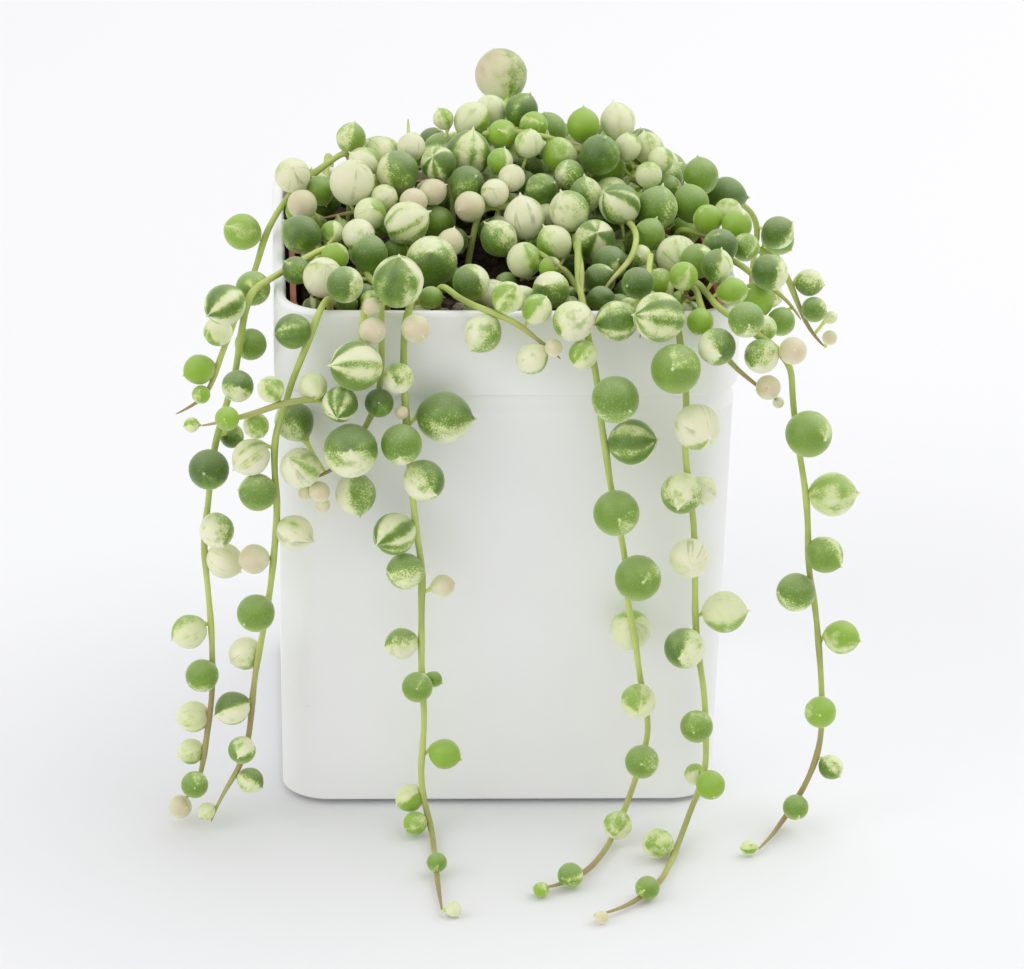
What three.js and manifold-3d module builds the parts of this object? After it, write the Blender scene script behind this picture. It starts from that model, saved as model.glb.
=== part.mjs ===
// A variegated string of pearls, Curio rowleyanus, growing in a nursery pot that stands in a square white
// cover pot. Millimetres. X runs to the right across the front, Y to the back and Z up, from the middle of
// the pot's underside.
import * as THREE from "three";
import { mergeVertices } from "three/addons/utils/BufferGeometryUtils.js";
import Module from "manifold-3d";

const wasm = await Module();
wasm.setup();
const { Manifold, Mesh } = wasm;

// The cover pot: half widths of a square with rounded corners, and heights.
const POT_HEIGHT = 92.7;
const BAND_HEIGHT = 14.7;
const RIM_HALF = 40;
const NECK_HALF = 39.4;
const BASE_HALF = 38.1;
const CORNER = 10;
const WALL = 2;
const FLOOR = 3;
const EDGE = 0.5;

// The nursery pot inside it, and the clearance between pieces that sit in each other.
const LINER_RIM = 91;
const LINER_HALF = 37.2;
const LINER_WALL = 1;
const LINER_FLOOR = 1.2;
const LINER_TAPER = 1.6;
const SEAT_GAP = 0.3;
const DRAIN_RADIUS = 3;
const DRAIN_PLACE = 16;

// The soil, the lumps on it, and the holes that the stems stand in.
const SOIL_TOP = 87;
const LUMP_COUNT = 9;
const LUMP_SIZE = 4.2;
const LUMP_FLATNESS = 0.2;
const LUMP_MARGIN = 6;
const HOLE_DEPTH = 6;
const HOLE_HALF = 1.35;
const ROOT_DEPTH = 5.7;
const ROOT_SPACING = 5;
const ROOT_LIMIT = 31;
const ROOT_ROUNDS = 200;
const COLLAR = 1;

// The plant: stems, the short stalks of the pearls, and the pearls as rings of [share of radius, height].
const STEM = 0.9;
const STEM_SIDES = 4;
const STEM_STEP = 3;
const STEM_END = 0.7;
const END_SHARE = 0.7;
const SHARP = -0.6;
const STRAY = 0.5;
const STALK = 0.6;
const STALK_RADIUS = 0.52;
const STALK_SIDES = 3;
const STALK_SINK = 0.17;
const PEARL_SIDES = 5;
const LARGE = 3.2;
const LARGE_SWELL = 1.03;
const LARGE_RINGS = [[0.76, -0.65], [1, 0], [0.76, 0.65]];
const SMALL_SWELL = 1.08;
const SMALL_RINGS = [[0.89, -0.45], [0.89, 0.45]];
const TIP_LENGTHS = [0.2, 0.1, 0.02];

// The room kept round pearls and stems, and from the table and the pots.
const PEARL_GAP = 0.25;
const STEM_GAP = 0.45;
const TABLE_GAP = 0.1;
const POT_GAP = 0.35;

// Places on the plant are read on the upright plane of the pot's front, as seen from the viewing point, and
// each one slides along its line of sight to its own depth Y. A route point is [across, up, depth], and
// LAID in place of the depth lets it lie on the table. A pearl is [across, up, diameter, lean], with lean 1
// before its stem and -1 behind.
const VIEW = { x: -46.6, y: -834.9, z: 377.9 };
const FRONT = -40;
const LAID = null;

const TRAILS = {
  trail_left_long: {
    stem: [[-30, 104.5, -15], [-34.8, 102.5, -19], [-37.8, 100.6, -23], [-41, 98.5, -28], [-44, 96.4, -32],
      [-45.2, 91.5, -34], [-46, 86.4, -35], [-46.8, 81, -36], [-49.3, 72, -37], [-50.5, 66, -38],
      [-51.3, 57.5, -39], [-52, 51, -40], [-51.4, 43, -41], [-50.7, 34, -42], [-50.6, 23, -43],
      [-51.4, 15.6, -43], [-52.5, 7.5, -43], [-54, 3.6, -43], [-57, 0.5, -43.5]],
    pearls: [[-48.3, 94.2, 7, 0.4], [-43.3, 97.1, 6, -1], [-44, 87, 5.5, -1], [-46.2, 79.5, 5.5, 1],
      [-47.2, 70.4, 4.2, -1], [-51.1, 64.3, 7, 1], [-49.8, 53.1, 6, 1], [-48.5, 47.4, 6.2, 0.3],
      [-54.5, 34.1, 6, 0.3], [-52.3, 25.8, 5.8, 0.5], [-53.8, 18, 5.6, -0.3], [-54.3, 11.3, 4.6, -0.3],
      [-53.7, 4.9, 4.8, 1], [-56.3, 0.6, 4.2, 0.5]],
  },
  trail_left_short: {
    stem: [[-27.6, 121, 10], [-30.7, 119.5, 9], [-33.4, 117.5, 7], [-35.6, 115.5, 6], [-37.8, 113, 5],
      [-39.3, 110.2, 3], [-41, 106.4, 0], [-42.8, 100.7, -2], [-46, 93, -5], [-49, 85, -8],
      [-51.2, 78.4, -10],
      [-53.8, 76, -11], [-57, 74.2, -12]],
    pearls: [[-27.1, 123.5, 5, 0], [-32.5, 114.4, 4.8, 1], [-37, 117, 6, 0.5], [-45, 106.9, 6.2, 0.3],
      [-49.5, 89.3, 5, 0.5], [-52.7, 82.5, 5.2, 0.3], [-52.4, 77.9, 3.2, 0.3]],
  },
  trail_left_inner: {
    stem: [[-30.3, 95.2, -36], [-31.6, 94, -40], [-33.3, 90, -43], [-34.8, 85.7, -44], [-36.8, 80.6, -45],
      [-37.7, 77, -45.5], [-39.6, 70.3, -46], [-39.8, 64, -46], [-39.4, 57, -46], [-39.9, 49, -46],
      [-40.6, 42, -46], [-41.8, 34, -46], [-42.8, 28.3, -46], [-43.5, 22.6, -46], [-44.2, 14.5, -46],
      [-45.7, 8.6, -46], [-47.5, 5.2, -46.5], [-49.6, 1, -47], [-50.8, -2.7, LAID]],
    pearls: [[-36.7, 89.4, 6.1, 0.3], [-42.6, 60.1, 6.5, 0.4], [-43.8, 67, 6.4, 0.5],
      [-36.4, 52.6, 6.2, 0.3],
      [-43.3, 47.7, 5.2, 0.2], [-43, 37.6, 6.6, 1], [-44.8, 30, 5.8, -0.6], [-47, 19.6, 5.9, 0.3],
      [-45.4, 11.6, 4.9, 1], [-44, 5.7, 4.6, 0.4], [-51.5, -0.2, 3.1, 0.3]],
  },
  trail_left_cluster: {
    stem: [[-24, 96, -35], [-24.5, 94.4, -39], [-25, 90, -43], [-25.8, 83, -44], [-29, 77.5, -45],
      [-33.5, 77, -49], [-38.2, 76.4, -50], [-43.6, 74.4, -49], [-50.4, 72.6, -47], [-52.7, 72.2, -46]],
    pearls: [[-23.3, 89.8, 4.6, 1], [-25.7, 83, 8.6, 1], [-29.1, 76.1, 6.2, 1], [-33, 79.5, 5, -0.4],
      [-40.5, 78.8, 4.6, -0.2], [-43.3, 72, 4.5, -0.5], [-48, 73.6, 4.2, 1], [-54, 72.4, 2.6, 0]],
  },
  trail_front_cluster: {
    stem: [[-20.5, 96, -34], [-21, 94.4, -39], [-21.4, 88, -43], [-21.6, 82, -44.5], [-22.6, 76, -45],
      [-25, 71, -45], [-28, 66, -45], [-31.5, 63.4, -45.5], [-34, 62.4, -46]],
    pearls: [[-22, 76.3, 5, 0.6], [-26.6, 68.8, 9.3, 1], [-26, 59.8, 7.1, 0.6], [-36.4, 72.6, 6.8, 0.6],
      [-36, 64.7, 7, 0.4], [-32.3, 60.2, 3.6, 1], [-31.6, 57.6, 2.6, 0.5], [-34.6, 59.8, 2.6, 0.5]],
  },
  trail_front_long: {
    stem: [[-17.6, 97, -33], [-18, 94.5, -39], [-18.8, 90, -42.5], [-18.6, 85, -44.5], [-18.2, 80, -45.5],
      [-17.8, 76, -46], [-17.2, 70, -46], [-16.5, 62, -46], [-15.4, 52, -46], [-14.4, 46, -46.5],
      [-14.4, 40, -47], [-14.3, 32, -47.5], [-14.2, 26, -48], [-13.6, 18, -48.5], [-13.8, 12, -48.5],
      [-14, 6.5, -48.5], [-13.4, 1.5, -49], [-12.1, -4.3, LAID], [-11.5, -8.4, LAID], [-10.8, -14.4, LAID],
      [-9.9, -20.3, LAID]],
    pearls: [[-16.3, 90.4, 5, 1], [-19.3, 81.1, 5.3, 1], [-18.6, 74.8, 2.3, 1], [-11.2, 73.8, 9, 0.3],
      [-18.8, 68.9, 7.1, 1], [-14.4, 62.3, 7.2, 0.7], [-19.2, 52.4, 7.4, 0.5], [-17.2, 45.4, 6.4, 0.3],
      [-10.9, 42.6, 4, 0.2], [-17.7, 31.8, 5.6, 0.2], [-14.9, 23.7, 5.4, 1], [-12.2, 25, 2.8, 0.5],
      [-10, 10.7, 5.4, 0.2], [-16, 2.2, 5, -0.3], [-14.9, -2.7, 4.2, 0.5], [-11, -10.4, 3.6, 0.8],
      [-7.9, -20.6, 2.8, 0]],
  },
  trail_centre_short: {
    stem: [[-12.8, 97.2, -30], [-10.4, 95.8, -36], [-7.6, 94.5, -40], [-3.8, 93, -43], [-0.4, 91.7, -44],
      [2.3, 90, -44.5], [4.7, 87.9, -45], [6.8, 86.4, -45], [8.8, 84.3, -45]],
    pearls: [[-4.7, 89.1, 6.4, 0.3], [-0.7, 95.5, 5.5, 0.2], [4.6, 93, 5.2, 0.2], [3.8, 84.6, 5.4, 0.4],
      [7.5, 86.6, 3, 1]],
  },
  trail_right_front: {
    stem: [[11.2, 106, -18], [11.2, 102.5, -24], [11.4, 98, -31], [12, 94.8, -38.5], [12.8, 90, -43],
      [13.5, 86.6, -44.5], [14.5, 83, -45.5], [15, 80.3, -46], [15.9, 72.6, -46.5], [16.8, 67.9, -47],
      [17.8, 61.3, -47], [20, 51.2, -47], [20.7, 47.6, -47.5], [21.6, 38.5, -48], [22.9, 32.4, -48.5],
      [24, 25, -49], [25.6, 17, -49.5], [25.4, 12.5, -49.5], [23.6, 5.2, -49], [22.3, 0.6, -49.3],
      [19.8, -6.4, LAID], [17.8, -9.9, LAID], [15.2, -12.7, LAID], [10.2, -15.3, LAID], [6.2, -15.8, LAID]],
    pearls: [[10.8, 90.1, 7, 1], [11.7, 86.6, 5, 0.3], [18.1, 77.2, 8.2, 1], [21.2, 69.3, 8, 0.2],
      [18.9, 56.3, 8, 1], [23, 44.1, 8.1, 0.8], [22, 34.4, 7.2, -0.8], [23.8, 20.8, 6.2, 0.8],
      [24.8, 9.1, 6, 1], [20.9, -3.2, 5.2, 0.8], [12.8, -13.2, 4.6, 0.6], [7.6, -17, 2.8, 0.6]],
  },
  trail_front_corner: {
    stem: [[23.4, 103.5, -22], [23.2, 101, -28], [23, 98.3, -34], [22.6, 95.2, -40], [22.3, 91.4, -43.5],
      [22, 88, -45]],
    pearls: [[25, 91.8, 8.6, 0.9], [19.3, 91.5, 7, 0.7], [21.4, 98.2, 5.5, 0.8], [25.6, 98.2, 5.4, 0.3]],
  },
  trail_right_corner: {
    stem: [[28.8, 98, -30], [29.2, 94.5, -39], [29.5, 90, -43], [30, 84, -45.5], [30.5, 78, -46.5],
      [30.4, 70, -47], [30.6, 66, -47], [31.8, 58, -47], [32.4, 54, -47], [32.8, 48, -47],
      [33, 43.4, -47.5],
      [33.3, 36, -48], [34.4, 27.5, -48.5], [35.3, 22.5, -49], [35.8, 16, -49.5], [36.1, 8.3, -50],
      [35.2, 4, -50.5], [34.1, 0.8, -51], [32.8, -3.6, -52.2], [31.2, -8.7, LAID], [29.2, -13.8, LAID],
      [26.5, -16.6, LAID], [23.6, -18.9, LAID], [20.1, -20.4, LAID], [17.2, -21.3, LAID]],
    pearls: [[28.3, 83.2, 8.6, 1], [32.3, 72.2, 8, 0.7], [30.1, 60, 7.2, 0.6], [33.6, 60.4, 5.4, -0.6],
      [31.9, 47.9, 7, 1], [38.2, 37.7, 7.4, 0.2], [31.6, 30.9, 7.2, 0.8], [34.2, 15.9, 5.8, 0.8],
      [36.9, 4.4, 5.2, 0.6], [34.2, 6.4, 4, -0.5], [28, -7.5, 5.6, 0.2], [26.5, -16.2, 4.4, 0.7],
      [18.6, -21.4, 2.4, 0.4]],
  },
  trail_right_long: {
    stem: [[28.8, 98.8, -26], [31.3, 95.6, -34], [33.7, 93.6, -41], [36.6, 92, -44.5], [41.6, 89, -45],
      [45.6, 86.2, -45], [47.8, 83.3, -45], [48.3, 79, -45], [48.8, 75, -45], [50, 68, -45],
      [51.5, 60.2, -45],
      [52.2, 53.6, -45], [52.7, 45.8, -45], [54, 39.2, -45], [54.9, 32.5, -45.5], [55.9, 23.2, -46],
      [56.2, 15.1, -46.5], [55.6, 10.1, -47], [54.1, 5.1, -47.5], [52.5, 1.6, -48], [50.5, -2.4, LAID],
      [48.4, -5.6, LAID], [45.9, -8.4, LAID]],
    pearls: [[39.7, 91.4, 6.2, 1], [43.7, 89.3, 4.6, -0.4], [42.5, 85.4, 6, 0.4], [47.6, 86, 4.8, 0.8],
      [51.5, 70.9, 8.1, 0.8], [56.1, 59.7, 7.8, 0.2], [55.3, 48.5, 6.4, 0.3], [50.7, 41.4, 6.8, 0.5],
      [58.9, 32.9, 6, 0.2], [55.9, 18.6, 5.6, 0.8], [58.2, 8, 4.4, 0.2], [52.3, 0.2, 4.6, 0.8],
      [44.3, -8.4, 2.8, 0]],
  },
  trail_right_upper: {
    stem: [[27.8, 108, -4], [30.5, 107.4, -5], [33.2, 106.7, -6], [36.5, 105.5, -7.5], [40, 104.7, -8.5],
      [43.5, 103.6, -9], [45.6, 101.5, -9.5], [47.3, 98, -10], [48.7, 94.6, -10.5], [50.3, 91, -11],
      [52.1, 88.3, -11.5], [53.8, 86.6, -12]],
    pearls: [[34, 109.5, 5, 0], [37, 109, 5.2, -0.4], [39.3, 105, 4.9, 1], [44.7, 107.2, 5.6, -0.2],
      [50.4, 98.4, 4.7, -0.2], [51.5, 93.5, 4.4, 0.6], [54.4, 92.1, 2.2, 0], [54.4, 88.4, 2.6, 0.5]],
  },
  trail_right_middle: {
    stem: [[31, 101.5, -12], [34, 101.8, -15], [36.8, 101.6, -17.6], [40, 99.5, -20], [44.4, 96.6, -21],
      [46.4, 95.2, -22], [48.4, 93.2, -22], [49.8, 91, -22]],
    pearls: [[35, 102.4, 6, 0.5], [37.3, 96.2, 6, 1], [43, 99.4, 6.3, 0.8], [45.2, 92.3, 4.9, 0.5]],
  },
  trail_right_lower: {
    stem: [[30, 97, -31], [31.3, 94.5, -39.6], [33.4, 89.6, -43.5], [35.5, 86.3, -44.5], [37.8, 83.3, -45],
      [40, 81.6, -45], [42.5, 79.5, -45], [44.5, 78, -45], [46, 76.9, -45]],
    pearls: [[31.3, 90.4, 4.6, 0.4], [35.3, 87, 6.5, 1], [44.3, 79.4, 4.3, 0.6], [46.6, 76.6, 2, 0]],
  },
};

// The crown: pearls that lie on the mound over the pot, grouped by the stem that carries them, [across, up,
// diameter]. A fourth number is the depth of a pearl that hangs before the rim.
const CROWN = {
  crown_left_corner: [[-36.3, 98.2, 4.8], [-32.5, 98.2, 6.9], [-34.2, 106.3, 6.6], [-30, 102.5, 4.8],
    [-27, 96.7, 6.3, -40], [-30.5, 107.5, 4]],
  crown_front_left: [[-19.2, 96, 8.7, -42.5], [-23.7, 93.2, 3.2, -43], [-24.4, 102.7, 6.2],
    [-26.3, 106.4, 5.6], [-13.9, 95.2, 4]],
  crown_middle_left: [[-13.6, 101.8, 8.8], [-18, 108.8, 7.4], [-6.9, 98.2, 6.4], [-10.4, 106, 4.6]],
  crown_pale_left: [[-26.2, 116.2, 7.6], [-23.4, 111, 5.5], [-22, 114.3, 4.5], [-35.4, 112, 5]],
  crown_back_left: [[-18.2, 117.5, 7.1], [-16, 112.8, 4.8], [-13.5, 113.9, 4.6], [-22.5, 121.5, 5.8],
    [-17.5, 122, 4.8], [-25, 119.5, 5]],
  crown_top_left: [[-8.3, 121.5, 7.8], [-13.3, 119.2, 6], [-9.8, 114.6, 6], [-7.6, 126.6, 6],
    [-11.8, 127, 3.5]],
  crown_summit: [[-2.5, 134.6, 8.8], [0.8, 128.3, 5.6], [3.1, 126.6, 4.8], [-3.8, 128.6, 5.5],
    [-2.1, 124.1, 5]],
  crown_centre: [[-8.2, 112.7, 5.2], [-4.4, 114, 4.8], [-2.7, 120, 4.4], [-0.6, 116.8, 4.6],
    [2.6, 122.7, 4.8], [4.9, 115, 5.5]],
  crown_front_centre: [[-2.1, 105.7, 6.2], [2.2, 101.9, 6], [1.9, 110.1, 7], [6.4, 100.9, 4]],
  crown_front_right: [[7.4, 105, 6], [7.8, 96.8, 6.4], [14.2, 95.5, 4.5], [13.5, 99.6, 5.5]],
  crown_middle_right: [[9.9, 110.5, 6.8], [13.5, 106.1, 7], [12, 114.7, 5.6], [16.3, 101.6, 6]],
  crown_top_right: [[7.3, 120.7, 6], [11.4, 126, 5.6], [14.9, 120.8, 6.8], [9.5, 117, 5]],
  crown_back_right: [[17.2, 126.7, 6], [22.6, 122.2, 5.4], [24.8, 120.6, 4.4], [22.6, 117.4, 4.6],
    [19, 122, 4.6]],
  crown_star: [[18.2, 112.6, 7], [23.9, 111.6, 7.1], [23, 106.6, 5.4], [21.7, 103.2, 3.6]],
  crown_right: [[30.5, 111.3, 6.3], [31.4, 117.3, 6], [36, 110.6, 5]],
  crown_right_corner: [[27.6, 103.4, 7.2], [31.6, 102.5, 6], [30.5, 97, 5, -39]],
};

// The side that the readings can't reach is filled by rule, with a seeded draw: trails over the back and
// the right, [across the rim, side, length], and back-of-crown stems at [x, y].
const HIDDEN_TRAILS = {
  trail_back_1: [-30, "back", 64],
  trail_back_2: [-17, "back", 110],
  trail_back_3: [-3, "back", 52],
  trail_back_4: [11, "back", 94],
  trail_back_5: [26, "back", 106],
  trail_right_rear: [18, "right", 34],
};
const HIDDEN_CROWN = {
  crown_rear_1: [-27, 20],
  crown_rear_2: [-14, 27],
  crown_rear_3: [0, 22],
  crown_rear_4: [13, 28],
  crown_rear_5: [27, 22],
  crown_rear_6: [30, 6],
};
const HIDDEN_SEED = 4021;
const REAR_PEARLS = 5;
const REAR_SPREAD = { x: 22, y: 14, ahead: 0.3, sink: 5 };
const REAR_RADIUS = [2.3, 1.5];
const HANG = 6;
const HANG_SPREAD = 1.5;
const RUN = 10;
const SWAY = 3;
const RIM_RISE = 2.2;
const TRAIL_ROOT = 27;
const TRAIL_FIRST = 10;
const TRAIL_SPACING = 16;
const TRAIL_CROWDING = 0.35;
const TRAIL_RADIUS = [1.5, 2.6];
const TRAIL_DROP = 0.3;

// The top line of the read crown, as [across, up], which the drawn pearls behind it stay under.
const CREST = [
  [-44, 100], [-39, 116], [-31, 117], [-26, 121], [-14, 123.5], [0, 129], [12, 127], [20, 125],
  [27, 121], [36, 113], [44, 103],
];

// The mound that the crown's pearls lie on: its height at the front and back, and the depths between which
// it rises.
const MOUND_FRONT = 95;
const MOUND_RISE = 15;
const MOUND_START = -22;
const MOUND_END = 20;
const MOUND_HALF = 46;
const MOUND_FIRST = -36;
const MOUND_LAST = 32;
const MOUND_STEP = 0.5;
const CROWN_DROP = 9;

// Settling: rounds of pushing apart, with and without the pull to the lines of sight, and how strong each
// pull is.
const GUIDED_ROUNDS = 120;
const FREE_ROUNDS = 60;
const PAIR_ROUNDS = 10;
const NEAR = 3;
const CELL = 12;
const SIGHT_PULL = 0.3;
const HOME_PULL = 0.03;
const BEND_PULL = 0.15;
const LINK_PULL = 0.8;
const TINY = 1e-9;

// How finely curves and corners are drawn, and how small a detail is dropped.
const CURVE_PARTS = 8;
const CORNER_PARTS = 4;
const DRAIN_SIDES = 8;
const MERGE = 1e-4;
const SIMPLE = 0.1;

const WHITE = new THREE.MeshStandardMaterial({ color: 0xf1f0ee, roughness: 0.35, metalness: 0 });
const TERRACOTTA = new THREE.MeshStandardMaterial({ color: 0xb9785c, roughness: 0.7, metalness: 0 });
const SOIL = new THREE.MeshStandardMaterial({ color: 0x3b2c22, roughness: 1, metalness: 0 });
const LEAF = new THREE.MeshStandardMaterial({ color: 0x8fb268, roughness: 0.45, metalness: 0 });

// A seeded draw from 0 to 1.
function drawer(seed) {
  let state = seed;
  return () => {
    state = (state * 16807) % 2147483647;
    return state / 2147483647;
  };
}

function clamp(value, low, high) {
  return Math.min(high, Math.max(low, value));
}

function distance(a, b) {
  return Math.sqrt((a.x - b.x) ** 2 + (a.y - b.y) ** 2 + (a.z - b.z) ** 2);
}

function between(a, b, t) {
  return { x: a.x + (b.x - a.x) * t, y: a.y + (b.y - a.y) * t, z: a.z + (b.z - a.z) * t };
}

// The point at the given depth on the line of sight through a reading.
function slide(across, up, depth) {
  const k = (depth - VIEW.y) / (FRONT - VIEW.y);
  return { x: VIEW.x + (across - VIEW.x) * k, y: depth, z: VIEW.z + (up - VIEW.z) * k };
}

// The point where the line of sight through a reading comes down to the given height.
function lay(across, up, height) {
  const k = (VIEW.z - height) / (VIEW.z - up);
  return slide(across, up, VIEW.y + (FRONT - VIEW.y) * k);
}

// The height of the mound: it rises to the back, and falls off at both sides and behind.
function moundHeight(x, y) {
  const t = clamp((y - MOUND_START) / (MOUND_END - MOUND_START), 0, 1);
  const side = clamp(Math.abs(x) / MOUND_HALF, 0, 1);
  const rear = clamp((y - MOUND_END) / MOUND_HALF, 0, 1) * 2;
  return MOUND_FRONT + MOUND_RISE * t * t * (3 - 2 * t) * (1 - side ** 4) * (1 - rear * rear);
}

// The depth at which a line of sight meets the mound.
function moundDepth(across, up) {
  for (let y = MOUND_FIRST; y < MOUND_LAST; y += MOUND_STEP) {
    const p = slide(across, up, y);
    if (p.z < moundHeight(p.x, y)) return y;
  }
  return MOUND_LAST;
}

// How far a point lies outside a square with rounded corners, and the direction that leads away from it.
function fromSquare(x, y, half, corner) {
  const qx = Math.abs(x) - (half - corner);
  const qy = Math.abs(y) - (half - corner);
  const sx = x < 0 ? -1 : 1;
  const sy = y < 0 ? -1 : 1;
  if (qx > 0 && qy > 0) {
    const length = Math.sqrt(qx * qx + qy * qy);
    return { gap: length - corner, nx: (sx * qx) / length, ny: (sy * qy) / length };
  }
  if (qx > qy) return { gap: qx - corner, nx: sx, ny: 0 };
  return { gap: qy - corner, nx: 0, ny: sy };
}

// Points along a smooth curve through the given ones, about a step apart.
function evenPoints(points, step) {
  const last = points.length - 1;
  const fine = [];
  for (let i = 0; i < last; i++) {
    const [a, b] = [points[Math.max(i - 1, 0)], points[i]];
    const [c, d] = [points[i + 1], points[Math.min(i + 2, last)]];
    for (let s = 0; s < CURVE_PARTS; s++) {
      const t = s / CURVE_PARTS;
      const at = (k) => b[k] + 0.5 * t * (c[k] - a[k] + t * (2 * a[k] - 5 * b[k] + 4 * c[k] - d[k]
        + t * (3 * (b[k] - c[k]) + d[k] - a[k])));
      fine.push({ x: at("x"), y: at("y"), z: at("z") });
    }
  }
  fine.push(points[last]);
  const along = [0];
  for (let i = 1; i < fine.length; i++) along.push(along[i - 1] + distance(fine[i - 1], fine[i]));
  const length = along[along.length - 1];
  const count = Math.max(2, Math.round(length / step));
  const even = [];
  let j = 0;
  for (let i = 0; i <= count; i++) {
    const at = (length * i) / count;
    while (j < fine.length - 2 && along[j + 1] < at) j++;
    even.push(between(fine[j], fine[j + 1], (at - along[j]) / (along[j + 1] - along[j])));
  }
  return even;
}

// The stem's point that comes nearest by a measure, above the soil.
function nearest(stem, measure) {
  let best = 2;
  for (let i = 2; i < stem.length; i++) if (measure(stem[i]) < measure(stem[best])) best = i;
  return best;
}

// A stem from its foot in the soil through the given points.
function rooted(root, points) {
  const foot = { x: root.x, y: root.y, z: SOIL_TOP - ROOT_DEPTH };
  const collar = { x: root.x, y: root.y, z: SOIL_TOP + COLLAR };
  return [foot, ...evenPoints([collar, ...points], STEM_STEP)];
}

// A trail whose route and pearls were read: each pearl sits its radius and a short stalk away from the
// stem.
function readTrail(name, { stem: route, pearls: readings }, root) {
  const points = route.map(([across, up, depth]) => {
    return depth === LAID ? lay(across, up, STEM) : slide(across, up, depth);
  });
  const stem = rooted(root, points);
  const pearls = readings.map(([across, up, size, lean]) => {
    const offset = (p) => distance(slide(across, up, p.y), p);
    const joint = nearest(stem, offset);
    const at = stem[joint];
    const off = offset(at);
    const k = (at.y - VIEW.y) / (FRONT - VIEW.y);
    const radius = (size / 2) * k;
    const reach = Math.max(radius + STEM + STALK, off);
    const forward = Math.sqrt(Math.max(0, reach * reach - off * off)) * lean;
    const centre = slide(across, up, at.y - forward);
    return { ...centre, radius, joint, reach: Math.min(distance(centre, at), reach), across, up };
  });
  return { name, stem, pearls, read: true };
}

// The order in which a stem passes all of its pearls on the shortest way.
function shortWay(left, at) {
  let best = { length: 0, order: [] };
  left.forEach((p, i) => {
    const rest = shortWay(left.filter((q) => q !== p), p);
    const length = rest.length + (at ? distance(at, p) : 0);
    if (i === 0 || length < best.length) best = { length, order: [p, ...rest.order] };
  });
  return best;
}

// A crown group with its root under the end of the way that is nearer to the middle of the pot.
function crownPlan(pearls) {
  const { order } = shortWay(pearls, null);
  const [first, last] = [order[0], order[order.length - 1]];
  if (last.x ** 2 + last.y ** 2 < first.x ** 2 + first.y ** 2) order.reverse();
  return { root: { x: order[0].x, y: order[0].y }, order };
}

// A crown stem: it starts at its root and passes its pearls, each with its stalk towards the low middle of
// the group.
function crownStem(name, order, root, read) {
  const middle = { x: 0, y: 0, z: -CROWN_DROP };
  for (const p of order) {
    middle.x += p.x / order.length;
    middle.y += p.y / order.length;
    middle.z += p.z / order.length;
  }
  const pearls = order.map((p) => ({ ...p, reach: p.radius + STEM + STALK }));
  const route = pearls.map((p) => {
    const at = between(p, middle, p.reach / distance(p, middle));
    return { ...at, z: Math.max(at.z, SOIL_TOP + COLLAR + STEM) };
  });
  const stem = rooted(root, route);
  for (const [i, p] of pearls.entries()) p.joint = nearest(stem, (at) => distance(at, route[i]));
  return { name, stem, pearls, read };
}

// A trail on a side that was not read: over the rim, down past the wall and out along the table.
function hiddenTrail(name, [place, side, length], root, draw) {
  const turn = { back: [1, 0, 0, 1], right: [0, 1, 1, 0] }[side];
  const put = (s, out, z) => ({ x: turn[0] * s + turn[2] * out, y: turn[1] * s + turn[3] * out, z });
  const points = [put(place, RIM_HALF - WALL, POT_HEIGHT + RIM_RISE)];
  let s = place;
  let out = RIM_HALF + HANG;
  let z = POT_HEIGHT - RIM_RISE;
  for (let run = RUN; run < length; run += RUN) {
    s += (draw() - 0.5) * SWAY;
    out = z > STEM ? RIM_HALF + HANG + draw() * HANG_SPREAD : out + RUN;
    points.push(put(s, out, z));
    z = z > RUN ? z - RUN : STEM;
  }
  const stem = rooted(root, points);
  const pearls = [];
  for (let i = TRAIL_FIRST; i < stem.length; i++) {
    const part = i / stem.length;
    const due = pearls.length * TRAIL_SPACING * (1 - TRAIL_CROWDING * part);
    if ((i - TRAIL_FIRST) * STEM_STEP < due) continue;
    const radius = TRAIL_RADIUS[0] + TRAIL_RADIUS[1] * Math.sqrt(1 - part) * (0.8 + 0.2 * draw());
    const reach = radius + STEM + STALK;
    const swing = ((pearls.length * 5) % 8) / 4 - 0.9;
    const size = Math.sqrt(1 + swing * swing + TRAIL_DROP * TRAIL_DROP);
    pearls.push({
      x: stem[i].x + ((turn[2] + swing * turn[0]) / size) * reach,
      y: stem[i].y + ((turn[3] + swing * turn[1]) / size) * reach,
      z: stem[i].z - (TRAIL_DROP / size) * reach,
      radius,
      reach,
      joint: i,
    });
  }
  return { name, stem, pearls, read: false };
}

// The pearls of a crown stem: read ones at their depth on the mound, or drawn ones round a hidden root.
function readCrown(readings) {
  return readings.map(([across, up, size, own]) => {
    const depth = own ?? moundDepth(across, up);
    const k = (depth - VIEW.y) / (FRONT - VIEW.y);
    return { ...slide(across, up, depth), radius: (size / 2) * k, across, up };
  });
}

// How high the read crown reaches at a place across.
function crestAt(across) {
  let i = 0;
  while (i < CREST.length - 2 && CREST[i + 1][0] < across) i++;
  const [a, low] = CREST[i];
  const [b, high] = CREST[i + 1];
  return low + ((high - low) * (clamp(across, a, b) - a)) / (b - a);
}

function drawnCrown([x, y], draw) {
  const pearls = [];
  for (let i = 0; i < REAR_PEARLS; i++) {
    const px = x + (draw() - 0.5) * REAR_SPREAD.x;
    const py = y + (draw() - REAR_SPREAD.ahead) * REAR_SPREAD.y;
    const z = moundHeight(px, py) - draw() * REAR_SPREAD.sink;
    const radius = REAR_RADIUS[0] + draw() * REAR_RADIUS[1];
    const k = (py - VIEW.y) / (FRONT - VIEW.y);
    const crest = crestAt(VIEW.x + (px - VIEW.x) / k);
    const most = VIEW.z + (crest - VIEW.z) * k - radius;
    pearls.push({ x: px, y: py, z: Math.max(Math.min(z, most), SOIL_TOP + COLLAR + radius), radius });
  }
  return pearls;
}

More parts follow.
